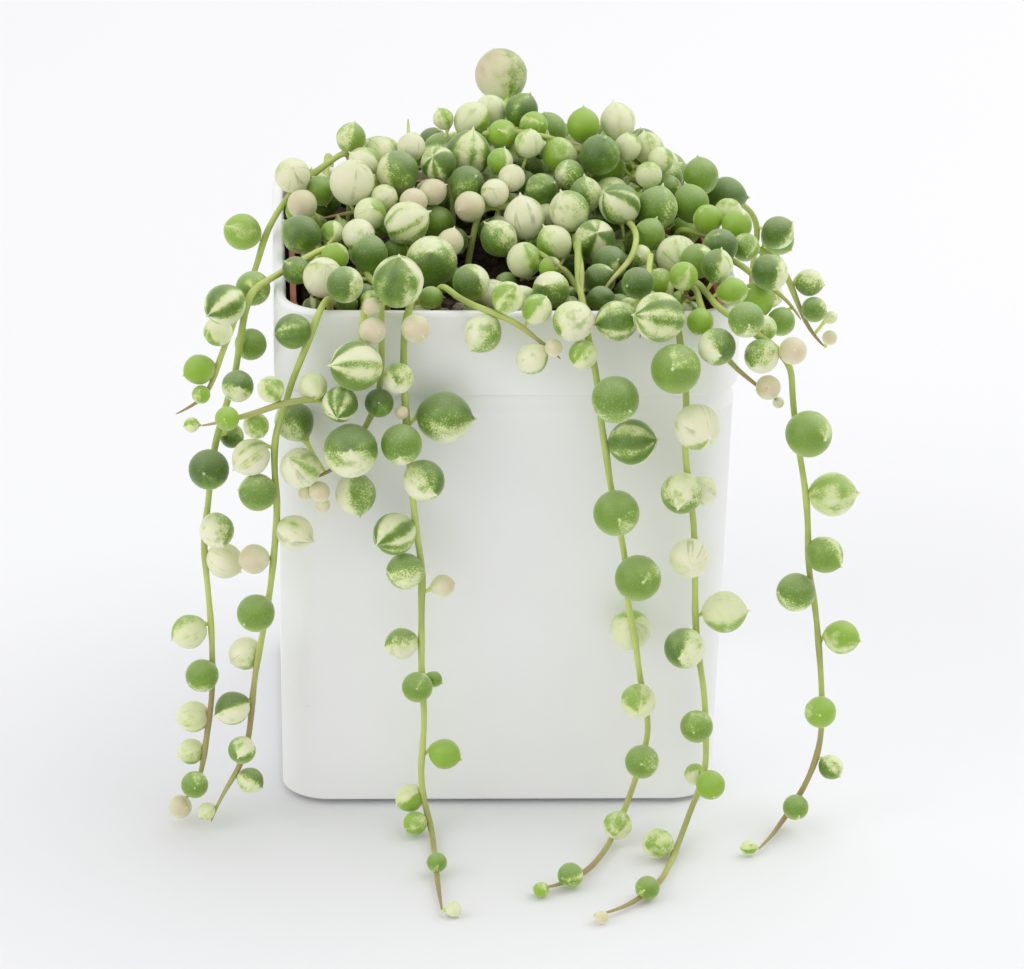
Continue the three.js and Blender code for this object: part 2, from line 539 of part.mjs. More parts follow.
// Roots stand at least a spacing apart and clear of the nursery pot's wall.
function spreadRoots(roots) {
  for (let round = 0; round < ROOT_ROUNDS; round++) {
    for (let i = 0; i < roots.length; i++) {
      for (let j = i + 1; j < roots.length; j++) {
        const dx = roots[j].x - roots[i].x;
        const dy = roots[j].y - roots[i].y;
        const gap = Math.sqrt(dx * dx + dy * dy) + TINY;
        if (gap >= ROOT_SPACING) continue;
        const push = (ROOT_SPACING - gap) / 2 / gap;
        roots[i].x -= dx * push;
        roots[i].y -= dy * push;
        roots[j].x += dx * push;
        roots[j].y += dy * push;
      }
    }
    for (const root of roots) {
      root.x = clamp(root.x, -ROOT_LIMIT, ROOT_LIMIT);
      root.y = clamp(root.y, -ROOT_LIMIT, ROOT_LIMIT);
    }
  }
}

// Every strand in its first position.
function plan() {
  const draw = drawer(HIDDEN_SEED);
  const jobs = [];
  for (const [name, trail] of Object.entries(TRAILS)) {
    const [across, up, depth] = trail.stem[0];
    const start = slide(across, up, depth);
    const root = { x: start.x, y: start.y + STEM_STEP };
    jobs.push({ root, make: (r) => readTrail(name, trail, r) });
  }
  const crowns = Object.entries(CROWN).map(([name, readings]) => [name, readCrown(readings), true]);
  for (const [name, place] of Object.entries(HIDDEN_CROWN)) {
    crowns.push([name, drawnCrown(place, draw), false]);
  }
  for (const [name, pearls, read] of crowns) {
    const { root, order } = crownPlan(pearls);
    jobs.push({ root, make: (r) => crownStem(name, order, r, read) });
  }
  for (const [name, row] of Object.entries(HIDDEN_TRAILS)) {
    const [place, side] = row;
    const root = side === "back" ? { x: place, y: TRAIL_ROOT } : { x: TRAIL_ROOT, y: place };
    jobs.push({ root, make: (r) => hiddenTrail(name, row, r, draw) });
  }
  spreadRoots(jobs.map((job) => job.root));
  return jobs.map((job) => job.make(job.root));
}

// The parts of all strands as balls: stem points first, each strand's pearls after them.
function ballsOf(strands) {
  const balls = [];
  strands.forEach((strand, owner) => {
    strand.first = balls.length;
    for (const [i, p] of strand.stem.entries()) {
      balls.push({ ...p, size: STEM, gap: STEM_GAP, owner, stem: i, fixed: i < 2 });
    }
    strand.firstPearl = balls.length;
    for (const p of strand.pearls) {
      balls.push({ ...p, size: p.radius, gap: PEARL_GAP, owner, stem: -1, fixed: false });
    }
  });
  for (const ball of balls) {
    ball.home = { x: ball.x, y: ball.y, z: ball.z };
    ball.read = strands[ball.owner].read;
  }
  return balls;
}

// The least distance between two balls, or 0 where they may meet.
function spacing(a, b) {
  if (a.fixed && b.fixed) return 0;
  if (a.owner !== b.owner) return a.size + b.size + a.gap + b.gap;
  if (a.stem >= 0 && b.stem >= 0) return 0;
  const [stem, pearl] = a.stem >= 0 ? [a, b] : [b, a];
  if (stem.stem >= 0 && Math.abs(stem.stem - pearl.joint) <= 2) return 0;
  return a.size + b.size;
}

// Pairs of balls that are close enough to meet soon, found through a grid of cells.
function nearPairs(balls) {
  const cells = new Map();
  balls.forEach((ball, n) => {
    ball.cell = [ball.x, ball.y, ball.z].map((v) => Math.floor(v / CELL));
    const name = ball.cell.join();
    if (!cells.has(name)) cells.set(name, []);
    cells.get(name).push(n);
  });
  const pairs = [];
  balls.forEach((ball, n) => {
    const [i, j, k] = ball.cell;
    for (const di of [-1, 0, 1]) {
      for (const dj of [-1, 0, 1]) {
        for (const dk of [-1, 0, 1]) {
          for (const m of cells.get([i + di, j + dj, k + dk].join()) ?? []) {
            if (m <= n) continue;
            const least = spacing(ball, balls[m]);
            if (least > 0 && distance(ball, balls[m]) < least + NEAR) pairs.push([n, m, least]);
          }
        }
      }
    }
  });
  return pairs;
}

// Moves two balls along the line between them until they are the given distance apart.
function holdApart(a, b, length, share) {
  const gap = distance(a, b) + TINY;
  const move = ((length - gap) / gap) * share;
  const wa = a.fixed ? 0 : 1;
  const wb = b.fixed ? 0 : 1;
  if (wa + wb === 0) return;
  const [dx, dy, dz] = [(b.x - a.x) * move, (b.y - a.y) * move, (b.z - a.z) * move];
  a.x -= (dx * wa) / (wa + wb);
  a.y -= (dy * wa) / (wa + wb);
  a.z -= (dz * wa) / (wa + wb);
  b.x += (dx * wb) / (wa + wb);
  b.y += (dy * wb) / (wa + wb);
  b.z += (dz * wb) / (wa + wb);
}

// Keeps a ball out of the table, the pots' walls and the soil.
function keepOut(ball) {
  if (ball.fixed) return;
  ball.z = Math.max(ball.z, ball.size * SMALL_SWELL + TABLE_GAP);
  const room = ball.size + ball.gap + POT_GAP;
  const side = fromSquare(ball.x, ball.y, RIM_HALF, CORNER);
  const inner = -WALL - SEAT_GAP * 2 - LINER_WALL;
  if (side.gap < inner) ball.z = Math.max(ball.z, SOIL_TOP + COLLAR + ball.size);
  const over = side.gap > 0 ? side.gap : Math.min(side.gap - inner, 0);
  const above = ball.z - POT_HEIGHT;
  if (above > 0) {
    const far = Math.sqrt(over * over + above * above);
    if (far >= room) return;
    const push = (room - far) / (far + TINY);
    ball.z += above * push;
    ball.x += side.nx * over * push;
    ball.y += side.ny * over * push;
    return;
  }
  const outward = side.gap > inner / 2;
  const deep = outward ? room - side.gap : room + side.gap - inner;
  if (deep <= 0) return;
  ball.x += side.nx * (outward ? deep : -deep);
  ball.y += side.ny * (outward ? deep : -deep);
}

// Settles all strands: stems keep their length and bend, pearls stay on their stalks, and nothing runs into
// anything.
function settle(strands) {
  const balls = ballsOf(strands);
  const links = [];
  const bends = [];
  for (const strand of strands) {
    for (let i = 1; i < strand.stem.length; i++) {
      const n = strand.first + i;
      links.push([n - 1, n, distance(balls[n - 1], balls[n])]);
      if (i > 1) {
        const middle = between(balls[n - 2], balls[n], 0.5);
        const off = balls[n - 1];
        bends.push([n - 1, off.x - middle.x, off.y - middle.y, off.z - middle.z]);
      }
    }
    for (const [i, p] of strand.pearls.entries()) {
      links.push([strand.first + p.joint, strand.firstPearl + i, p.reach]);
    }
  }
  let pairs = [];
  for (let round = 0; round < GUIDED_ROUNDS + FREE_ROUNDS; round++) {
    if (round % PAIR_ROUNDS === 0) pairs = nearPairs(balls);
    const guided = round < GUIDED_ROUNDS;
    for (const ball of balls) {
      if (!guided || ball.fixed) continue;
      const share = ball.read ? SIGHT_PULL : HOME_PULL;
      const depth = (ball.y - VIEW.y) / (ball.home.y - VIEW.y);
      const target = ball.read
        ? { x: VIEW.x + (ball.home.x - VIEW.x) * depth, z: VIEW.z + (ball.home.z - VIEW.z) * depth }
        : ball.home;
      ball.x += (target.x - ball.x) * share;
      ball.z += (target.z - ball.z) * share;
      ball.y += (ball.home.y - ball.y) * HOME_PULL;
    }
    for (const [n, dx, dy, dz] of bends) {
      const ball = balls[n];
      if (ball.fixed) continue;
      const middle = between(balls[n - 1], balls[n + 1], 0.5);
      ball.x += (middle.x + dx - ball.x) * BEND_PULL;
      ball.y += (middle.y + dy - ball.y) * BEND_PULL;
      ball.z += (middle.z + dz - ball.z) * BEND_PULL;
    }
    for (const [n, m, length] of links) holdApart(balls[n], balls[m], length, LINK_PULL);
    for (const [n, m, least] of pairs) {
      if (distance(balls[n], balls[m]) < least) holdApart(balls[n], balls[m], least, 1);
    }
    for (const ball of balls) keepOut(ball);
  }
  for (const strand of strands) {
    strand.stem = strand.stem.map((_, i) => balls[strand.first + i]);
    strand.pearls = strand.pearls.map((_, i) => balls[strand.firstPearl + i]);
  }
  return balls;
}

// A closed geometry as a solid that can be joined and cut.
function solid(geometry) {
  const bare = geometry.clone();
  bare.deleteAttribute("normal");
  bare.deleteAttribute("uv");
  const merged = mergeVertices(bare, MERGE);
  return new Manifold(new Mesh({
    numProp: 3,
    vertProperties: new Float32Array(merged.attributes.position.array),
    triVerts: new Uint32Array(merged.index.array),
  }));
}

function geometryOf(made) {
  const { numProp, vertProperties, triVerts } = made.getMesh();
  const position = new Float32Array((vertProperties.length / numProp) * 3);
  for (let i = 0; i < position.length / 3; i++) {
    for (let k = 0; k < 3; k++) position[i * 3 + k] = vertProperties[i * numProp + k];
  }
  const geometry = new THREE.BufferGeometry();
  geometry.setAttribute("position", new THREE.BufferAttribute(position, 3));
  geometry.setIndex(new THREE.BufferAttribute(new Uint32Array(triVerts), 1));
  geometry.computeVertexNormals();
  return geometry;
}

function bodyOf(positions, index) {
  const geometry = new THREE.BufferGeometry();
  geometry.setAttribute("position", new THREE.Float32BufferAttribute(positions, 3));
  geometry.setIndex(index);
  return geometry;
}

// A body through rings of a rounded square, [half width, corner radius, height], closed flat at both ends.
function ringed(rings) {
  const corners = [[1, 1, 0], [-1, 1, 1], [-1, -1, 2], [1, -1, 3]];
  const positions = [];
  for (const [half, corner, z] of rings) {
    for (const [sx, sy, quarter] of corners) {
      for (let i = 0; i <= CORNER_PARTS; i++) {
        const angle = ((quarter + i / CORNER_PARTS) * Math.PI) / 2;
        const [x, y] = [corner * Math.cos(angle), corner * Math.sin(angle)];
        positions.push(sx * (half - corner) + x, sy * (half - corner) + y, z);
      }
    }
  }
  const count = 4 * (CORNER_PARTS + 1);
  const index = [];
  for (let r = 0; r + 1 < rings.length; r++) {
    for (let i = 0; i < count; i++) {
      const [a, b] = [r * count + i, r * count + ((i + 1) % count)];
      index.push(a, b, b + count, a, b + count, a + count);
    }
  }
  const top = (rings.length - 1) * count;
  for (let i = 1; i + 1 < count; i++) {
    index.push(0, i + 1, i);
    index.push(top, top + i, top + i + 1);
  }
  return bodyOf(positions, index);
}

// The cover pot: a band stands out a little under the rim, and the inside tapers like the outside.
function coverPot() {
  const step = POT_HEIGHT - BAND_HEIGHT;
  const inside = RIM_HALF - WALL;
  const taper = NECK_HALF - BASE_HALF;
  return ringed([
    [BASE_HALF - EDGE, CORNER - EDGE, 0], [BASE_HALF, CORNER, EDGE], [NECK_HALF, CORNER, step - EDGE],
    [RIM_HALF, CORNER + EDGE, step], [RIM_HALF, CORNER + EDGE, POT_HEIGHT - EDGE],
    [RIM_HALF - EDGE / 2, CORNER, POT_HEIGHT], [inside + EDGE / 2, CORNER - WALL + EDGE, POT_HEIGHT],
    [inside, CORNER - WALL, POT_HEIGHT - EDGE], [inside - taper, CORNER - WALL, FLOOR + WALL],
    [inside - taper - WALL, CORNER - WALL, FLOOR],
  ]);
}

// The nursery pot, which stands on the cover pot's floor, with four drain holes.
function liner() {
  const foot = FLOOR + SEAT_GAP;
  const inside = LINER_HALF - LINER_WALL;
  const corner = CORNER - WALL - SEAT_GAP;
  const body = solid(ringed([
    [LINER_HALF - LINER_TAPER - WALL, corner, foot], [LINER_HALF - LINER_TAPER, corner, foot + WALL],
    [LINER_HALF, corner, LINER_RIM], [inside, corner - LINER_WALL, LINER_RIM],
    [inside - LINER_TAPER, corner - LINER_WALL, foot + WALL + LINER_FLOOR],
    [inside - LINER_TAPER - WALL, corner - LINER_WALL, foot + LINER_FLOOR],
  ]));
  const drains = [];
  for (const x of [-DRAIN_PLACE, DRAIN_PLACE]) {
    for (const y of [-DRAIN_PLACE, DRAIN_PLACE]) {
      const drain = new THREE.CylinderGeometry(DRAIN_RADIUS, DRAIN_RADIUS, LINER_FLOOR * 3, DRAIN_SIDES);
      drains.push(solid(drain.rotateX(Math.PI / 2).translate(x, y, foot + LINER_FLOOR / 2)));
    }
  }
  return geometryOf(body.subtract(Manifold.union(drains)));
}

// The soil fills the nursery pot. Lumps stand out of its top, and each stem has a plain hole.
function soil(strands) {
  const foot = FLOOR + SEAT_GAP * 2 + LINER_FLOOR;
  const edge = LINER_HALF - LINER_WALL - SEAT_GAP;
  const corner = CORNER - WALL - SEAT_GAP * 2 - LINER_WALL;
  const parts = [solid(ringed([
    [edge - LINER_TAPER - WALL, corner, foot], [edge - LINER_TAPER, corner, foot + WALL],
    [edge - LINER_TAPER * (1 - SOIL_TOP / LINER_RIM), corner, SOIL_TOP],
  ]))];
  const draw = drawer(HIDDEN_SEED + 1);
  for (let i = 0; i < LUMP_COUNT; i++) {
    const size = LUMP_SIZE * (0.5 + 0.5 * draw());
    const [x, y] = [draw(), draw()].map((v) => (2 * v - 1) * (edge - LUMP_MARGIN));
    const lump = new THREE.IcosahedronGeometry(size, 0).scale(1, 0.75, LUMP_FLATNESS);
    parts.push(solid(lump.rotateZ(draw() * Math.PI).translate(x, y, SOIL_TOP)));
  }
  const holes = strands.map(({ stem }) => {
    const hole = new THREE.BoxGeometry(HOLE_HALF * 2, HOLE_HALF * 2, HOLE_DEPTH * 2);
    return solid(hole.translate(stem[0].x, stem[0].y, SOIL_TOP));
  });
  return geometryOf(Manifold.union(parts).subtract(Manifold.union(holes)).simplify(SIMPLE));
}

// The dot product of the steps from a to b and from c to d.
function dot(a, b, c, d) {
  return (b.x - a.x) * (d.x - c.x) + (b.y - a.y) * (d.y - c.y) + (b.z - a.z) * (d.z - c.z);
}

// The point of a straight line from a to b that comes nearest to p.
function onLine(a, b, p) {
  return between(a, b, clamp(dot(a, b, a, p) / dot(a, b, a, b), 0, 1));
}

// The points between two of a stem that it can't leave out without straying further than it may.
function turns(points, first, last) {
  let worst = STRAY;
  let at = -1;
  for (let i = first + 1; i < last; i++) {
    const off = distance(points[i], onLine(points[first], points[last], points[i]));
    if (off > worst) [worst, at] = [off, i];
  }
  return at < 0 ? [] : [...turns(points, first, at), points[at], ...turns(points, at, last)];
}

// A stem's line in few straight runs.
function fewPoints(points) {
  const last = points.length - 1;
  return [points[0], points[1], ...turns(points, 1, last), points[last]];
}

// A point a little past the end of a line's last run.
function drawnOn(line) {
  const [a, b] = [line[line.length - 2], line[line.length - 1]];
  const length = distance(a, b);
  return between(a, b, (length + STEM_END) / length);
}

// A stem as tubes that meet at its sharp turns.
function stemSolids(line) {
  const tubes = [];
  let run = [line[0]];
  for (let i = 1; i < line.length; i++) {
    run.push(line[i]);
    const next = line[i + 1];
    if (next) {
      const [p, q] = [line[i - 1], line[i]];
      if (dot(p, q, q, next) > SHARP * distance(p, q) * distance(q, next)) continue;
    }
    tubes.push(tube([...run.slice(0, -1), drawnOn(run)]));
    if (next) run = [drawnOn([next, line[i]])];
  }
  return tubes;
}

// A tube with flat ends.
function tube(line) {
  const positions = [];
  let side = null;
  line.forEach((p, i) => {
    const before = line[Math.max(i - 1, 0)];
    const after = line[Math.min(i + 1, line.length - 1)];
    const along = new THREE.Vector3(after.x - before.x, after.y - before.y, after.z - before.z).normalize();
    side = (side ?? new THREE.Vector3().crossVectors(along, new THREE.Vector3(1, 0, 0))).clone();
    side.addScaledVector(along, -side.dot(along)).normalize();
    const other = new THREE.Vector3().crossVectors(along, side);
    const radius = i === line.length - 1 ? STEM * END_SHARE : STEM;
    for (let s = 0; s < STEM_SIDES; s++) {
      const angle = (s / STEM_SIDES) * Math.PI * 2;
      const [u, v] = [Math.cos(angle) * radius, Math.sin(angle) * radius];
      for (const k of ["x", "y", "z"]) positions.push(p[k] + side[k] * u + other[k] * v);
    }
  });
  const index = [];
  for (let r = 0; r + 1 < line.length; r++) {
    for (let s = 0; s < STEM_SIDES; s++) {
      const [a, b] = [r * STEM_SIDES + s, r * STEM_SIDES + ((s + 1) % STEM_SIDES)];
      index.push(a, b, b + STEM_SIDES, a, b + STEM_SIDES, a + STEM_SIDES);
    }
  }
  const top = (line.length - 1) * STEM_SIDES;
  for (let s = 1; s + 1 < STEM_SIDES; s++) {
    index.push(0, s + 1, s);
    index.push(top, top + s, top + s + 1);
  }
  return solid(bodyOf(positions, index));
}

// A closed body of rings round the Y axis between two end points. A ring is [points, radius, height].
function ringStack(bottom, rings, top) {
  const positions = [0, bottom, 0];
  const index = [];
  let before = null;
  rings.forEach(([count, radius, height], r) => {
    const turn = r % 2 ? 0.5 / count : 0;
    const ring = { first: positions.length / 3, count, at: (i) => turn + i / count };
    for (let i = 0; i < count; i++) {
      const angle = ring.at(i) * Math.PI * 2;
      positions.push(radius * Math.sin(angle), height, radius * Math.cos(angle));
      if (!before) index.push(0, ring.first + ((i + 1) % count), ring.first + i);
    }
    if (before) {
      let [i, j] = [0, 0];
      while (i < before.count || j < count) {
        const low = before.first + (i % before.count);
        const high = ring.first + (j % count);
        if (j >= count || (i < before.count && before.at(i + 1) < ring.at(j + 1))) {
          index.push(low, before.first + ((i + 1) % before.count), high);
          i++;
        } else {
          index.push(low, ring.first + ((j + 1) % count), high);
          j++;
        }
      }
    }
    before = ring;
  });
  const end = positions.length / 3;
  positions.push(0, top, 0);
  for (let i = 0; i < before.count; i++) {
    index.push(before.first + i, before.first + ((i + 1) % before.count), end);
  }
  return bodyOf(positions, index);
}

// A pearl leaf: a round body on a short stalk sunk in its stem, drawn out to a point on the far side.
function pearlSolid(pearl, joint, tip) {
  const large = pearl.radius > LARGE;
  const r = pearl.radius * (large ? LARGE_SWELL : SMALL_SWELL);
  const rings = [[STALK_SIDES, STALK_RADIUS, -r]];
  for (const [share, height] of large ? LARGE_RINGS : SMALL_RINGS) {
    rings.push([PEARL_SIDES, r * share, r * height]);
  }
  const foot = -distance(pearl, joint) - STALK_SINK;
  const geometry = ringStack(foot, rings, pearl.radius * (1 + tip));
  const axis = new THREE.Vector3(pearl.x - joint.x, pearl.y - joint.y, pearl.z - joint.z).normalize();
  geometry.applyQuaternion(new THREE.Quaternion().setFromUnitVectors(new THREE.Vector3(0, 1, 0), axis));
  return solid(geometry.translate(pearl.x, pearl.y, pearl.z));
}

// The longest point that a pearl has room for.
function tipOf(pearl, joint, balls) {
  const length = distance(pearl, joint);
  for (const tip of TIP_LENGTHS) {
    const end = between(joint, pearl, (length + pearl.radius * (1 + tip)) / length);
    const free = (ball) => ball.owner === pearl.owner || distance(ball, end) > ball.size + PEARL_GAP * 2;
    if (end.z > 0 && balls.every(free)) return tip;
  }
  return 0;
}

// The point of a line of straight runs that comes nearest to p.
function onStem(line, p) {
  let best = line[1];
  for (let i = 2; i < line.length; i++) {
    const at = onLine(line[i - 1], line[i], p);
    if (distance(at, p) < distance(best, p)) best = at;
  }
  return best;
}

function strandGeometry(strand, balls) {
  const line = fewPoints(strand.stem);
  const parts = stemSolids(line);
  for (const pearl of strand.pearls) {
    const joint = onStem(line, strand.stem[pearl.joint]);
    parts.push(pearlSolid(pearl, joint, tipOf(pearl, joint, balls)));
  }
  return geometryOf(Manifold.union(parts).simplify(SIMPLE));
}

const strands = plan();
const balls = settle(strands);

const plant = new THREE.Group();
function add(name, geometry, material) {
  const mesh = new THREE.Mesh(geometry, material);
  mesh.name = name;
  plant.add(mesh);
}
add("cover_pot", geometryOf(solid(coverPot())), WHITE);
add("nursery_pot", liner(), TERRACOTTA);
add("soil", soil(strands), SOIL);
for (const strand of strands) add(strand.name, strandGeometry(strand, balls), LEAF);

export default plant;
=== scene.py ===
"""Looks for the potted variegated string of pearls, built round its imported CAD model.

Layout values are millimetres, read on the plane of the pot's front, and the meshes are metres.
"""
import math

import bmesh
import bpy
from mathutils import Matrix, Vector, noise


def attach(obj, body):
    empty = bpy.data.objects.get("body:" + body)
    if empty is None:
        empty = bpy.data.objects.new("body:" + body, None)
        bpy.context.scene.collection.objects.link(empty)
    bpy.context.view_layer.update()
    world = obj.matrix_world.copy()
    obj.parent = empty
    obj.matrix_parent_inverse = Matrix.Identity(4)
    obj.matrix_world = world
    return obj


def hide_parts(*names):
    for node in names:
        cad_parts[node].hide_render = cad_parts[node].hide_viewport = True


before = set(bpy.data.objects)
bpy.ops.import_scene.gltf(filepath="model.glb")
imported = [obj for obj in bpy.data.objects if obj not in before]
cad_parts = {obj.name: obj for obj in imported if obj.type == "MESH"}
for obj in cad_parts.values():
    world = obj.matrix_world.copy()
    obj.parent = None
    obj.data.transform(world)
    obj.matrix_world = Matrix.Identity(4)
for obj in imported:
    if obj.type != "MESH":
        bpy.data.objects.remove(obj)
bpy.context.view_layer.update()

bl_info = {
    "name": "Potted string of pearls",
    "version": (1, 0, 0),
    "blender": (4, 5, 0),
    "location": "View3D > Sidebar > Pearls",
    "description": "Builds a variegated string of pearls in a square white pot",
    "category": "Add Mesh",
}

MM = 0.001

# The pots and the soil
POT_HEIGHT = 92.7
BAND_HEIGHT = 14.7
RIM_HALF = 40
NECK_HALF = 39.4
BASE_HALF = 38.1
CORNER = 10
WALL = 2
FLOOR = 3
LINER_WALL = 1
SEAT_GAP = 0.3
SOIL_TOP = 87
SOIL_HALF = 34.9
SOIL_CORNER = 6.4
SOIL_FOOT = 5

# Where the stems stand in the soil
ROOT_DEPTH = 5.7
ROOT_SPACING = 5
ROOT_LIMIT = 31
ROOT_ROUNDS = 200
COLLAR = 1

# Stems and stalks
STEM = 0.9
STEM_STEP = 3
STALK = 0.6
SMALL_SWELL = 1.08

# The room kept round pearls and stems, and from the table and the pots
PEARL_GAP = 0.25
STEM_GAP = 0.45
TABLE_GAP = 0.1
POT_GAP = 0.35

# The viewing point of the readings, and the depth of the plane that they are given on
VIEW = (-46.6, -834.9, 377.9)
FRONT = -40

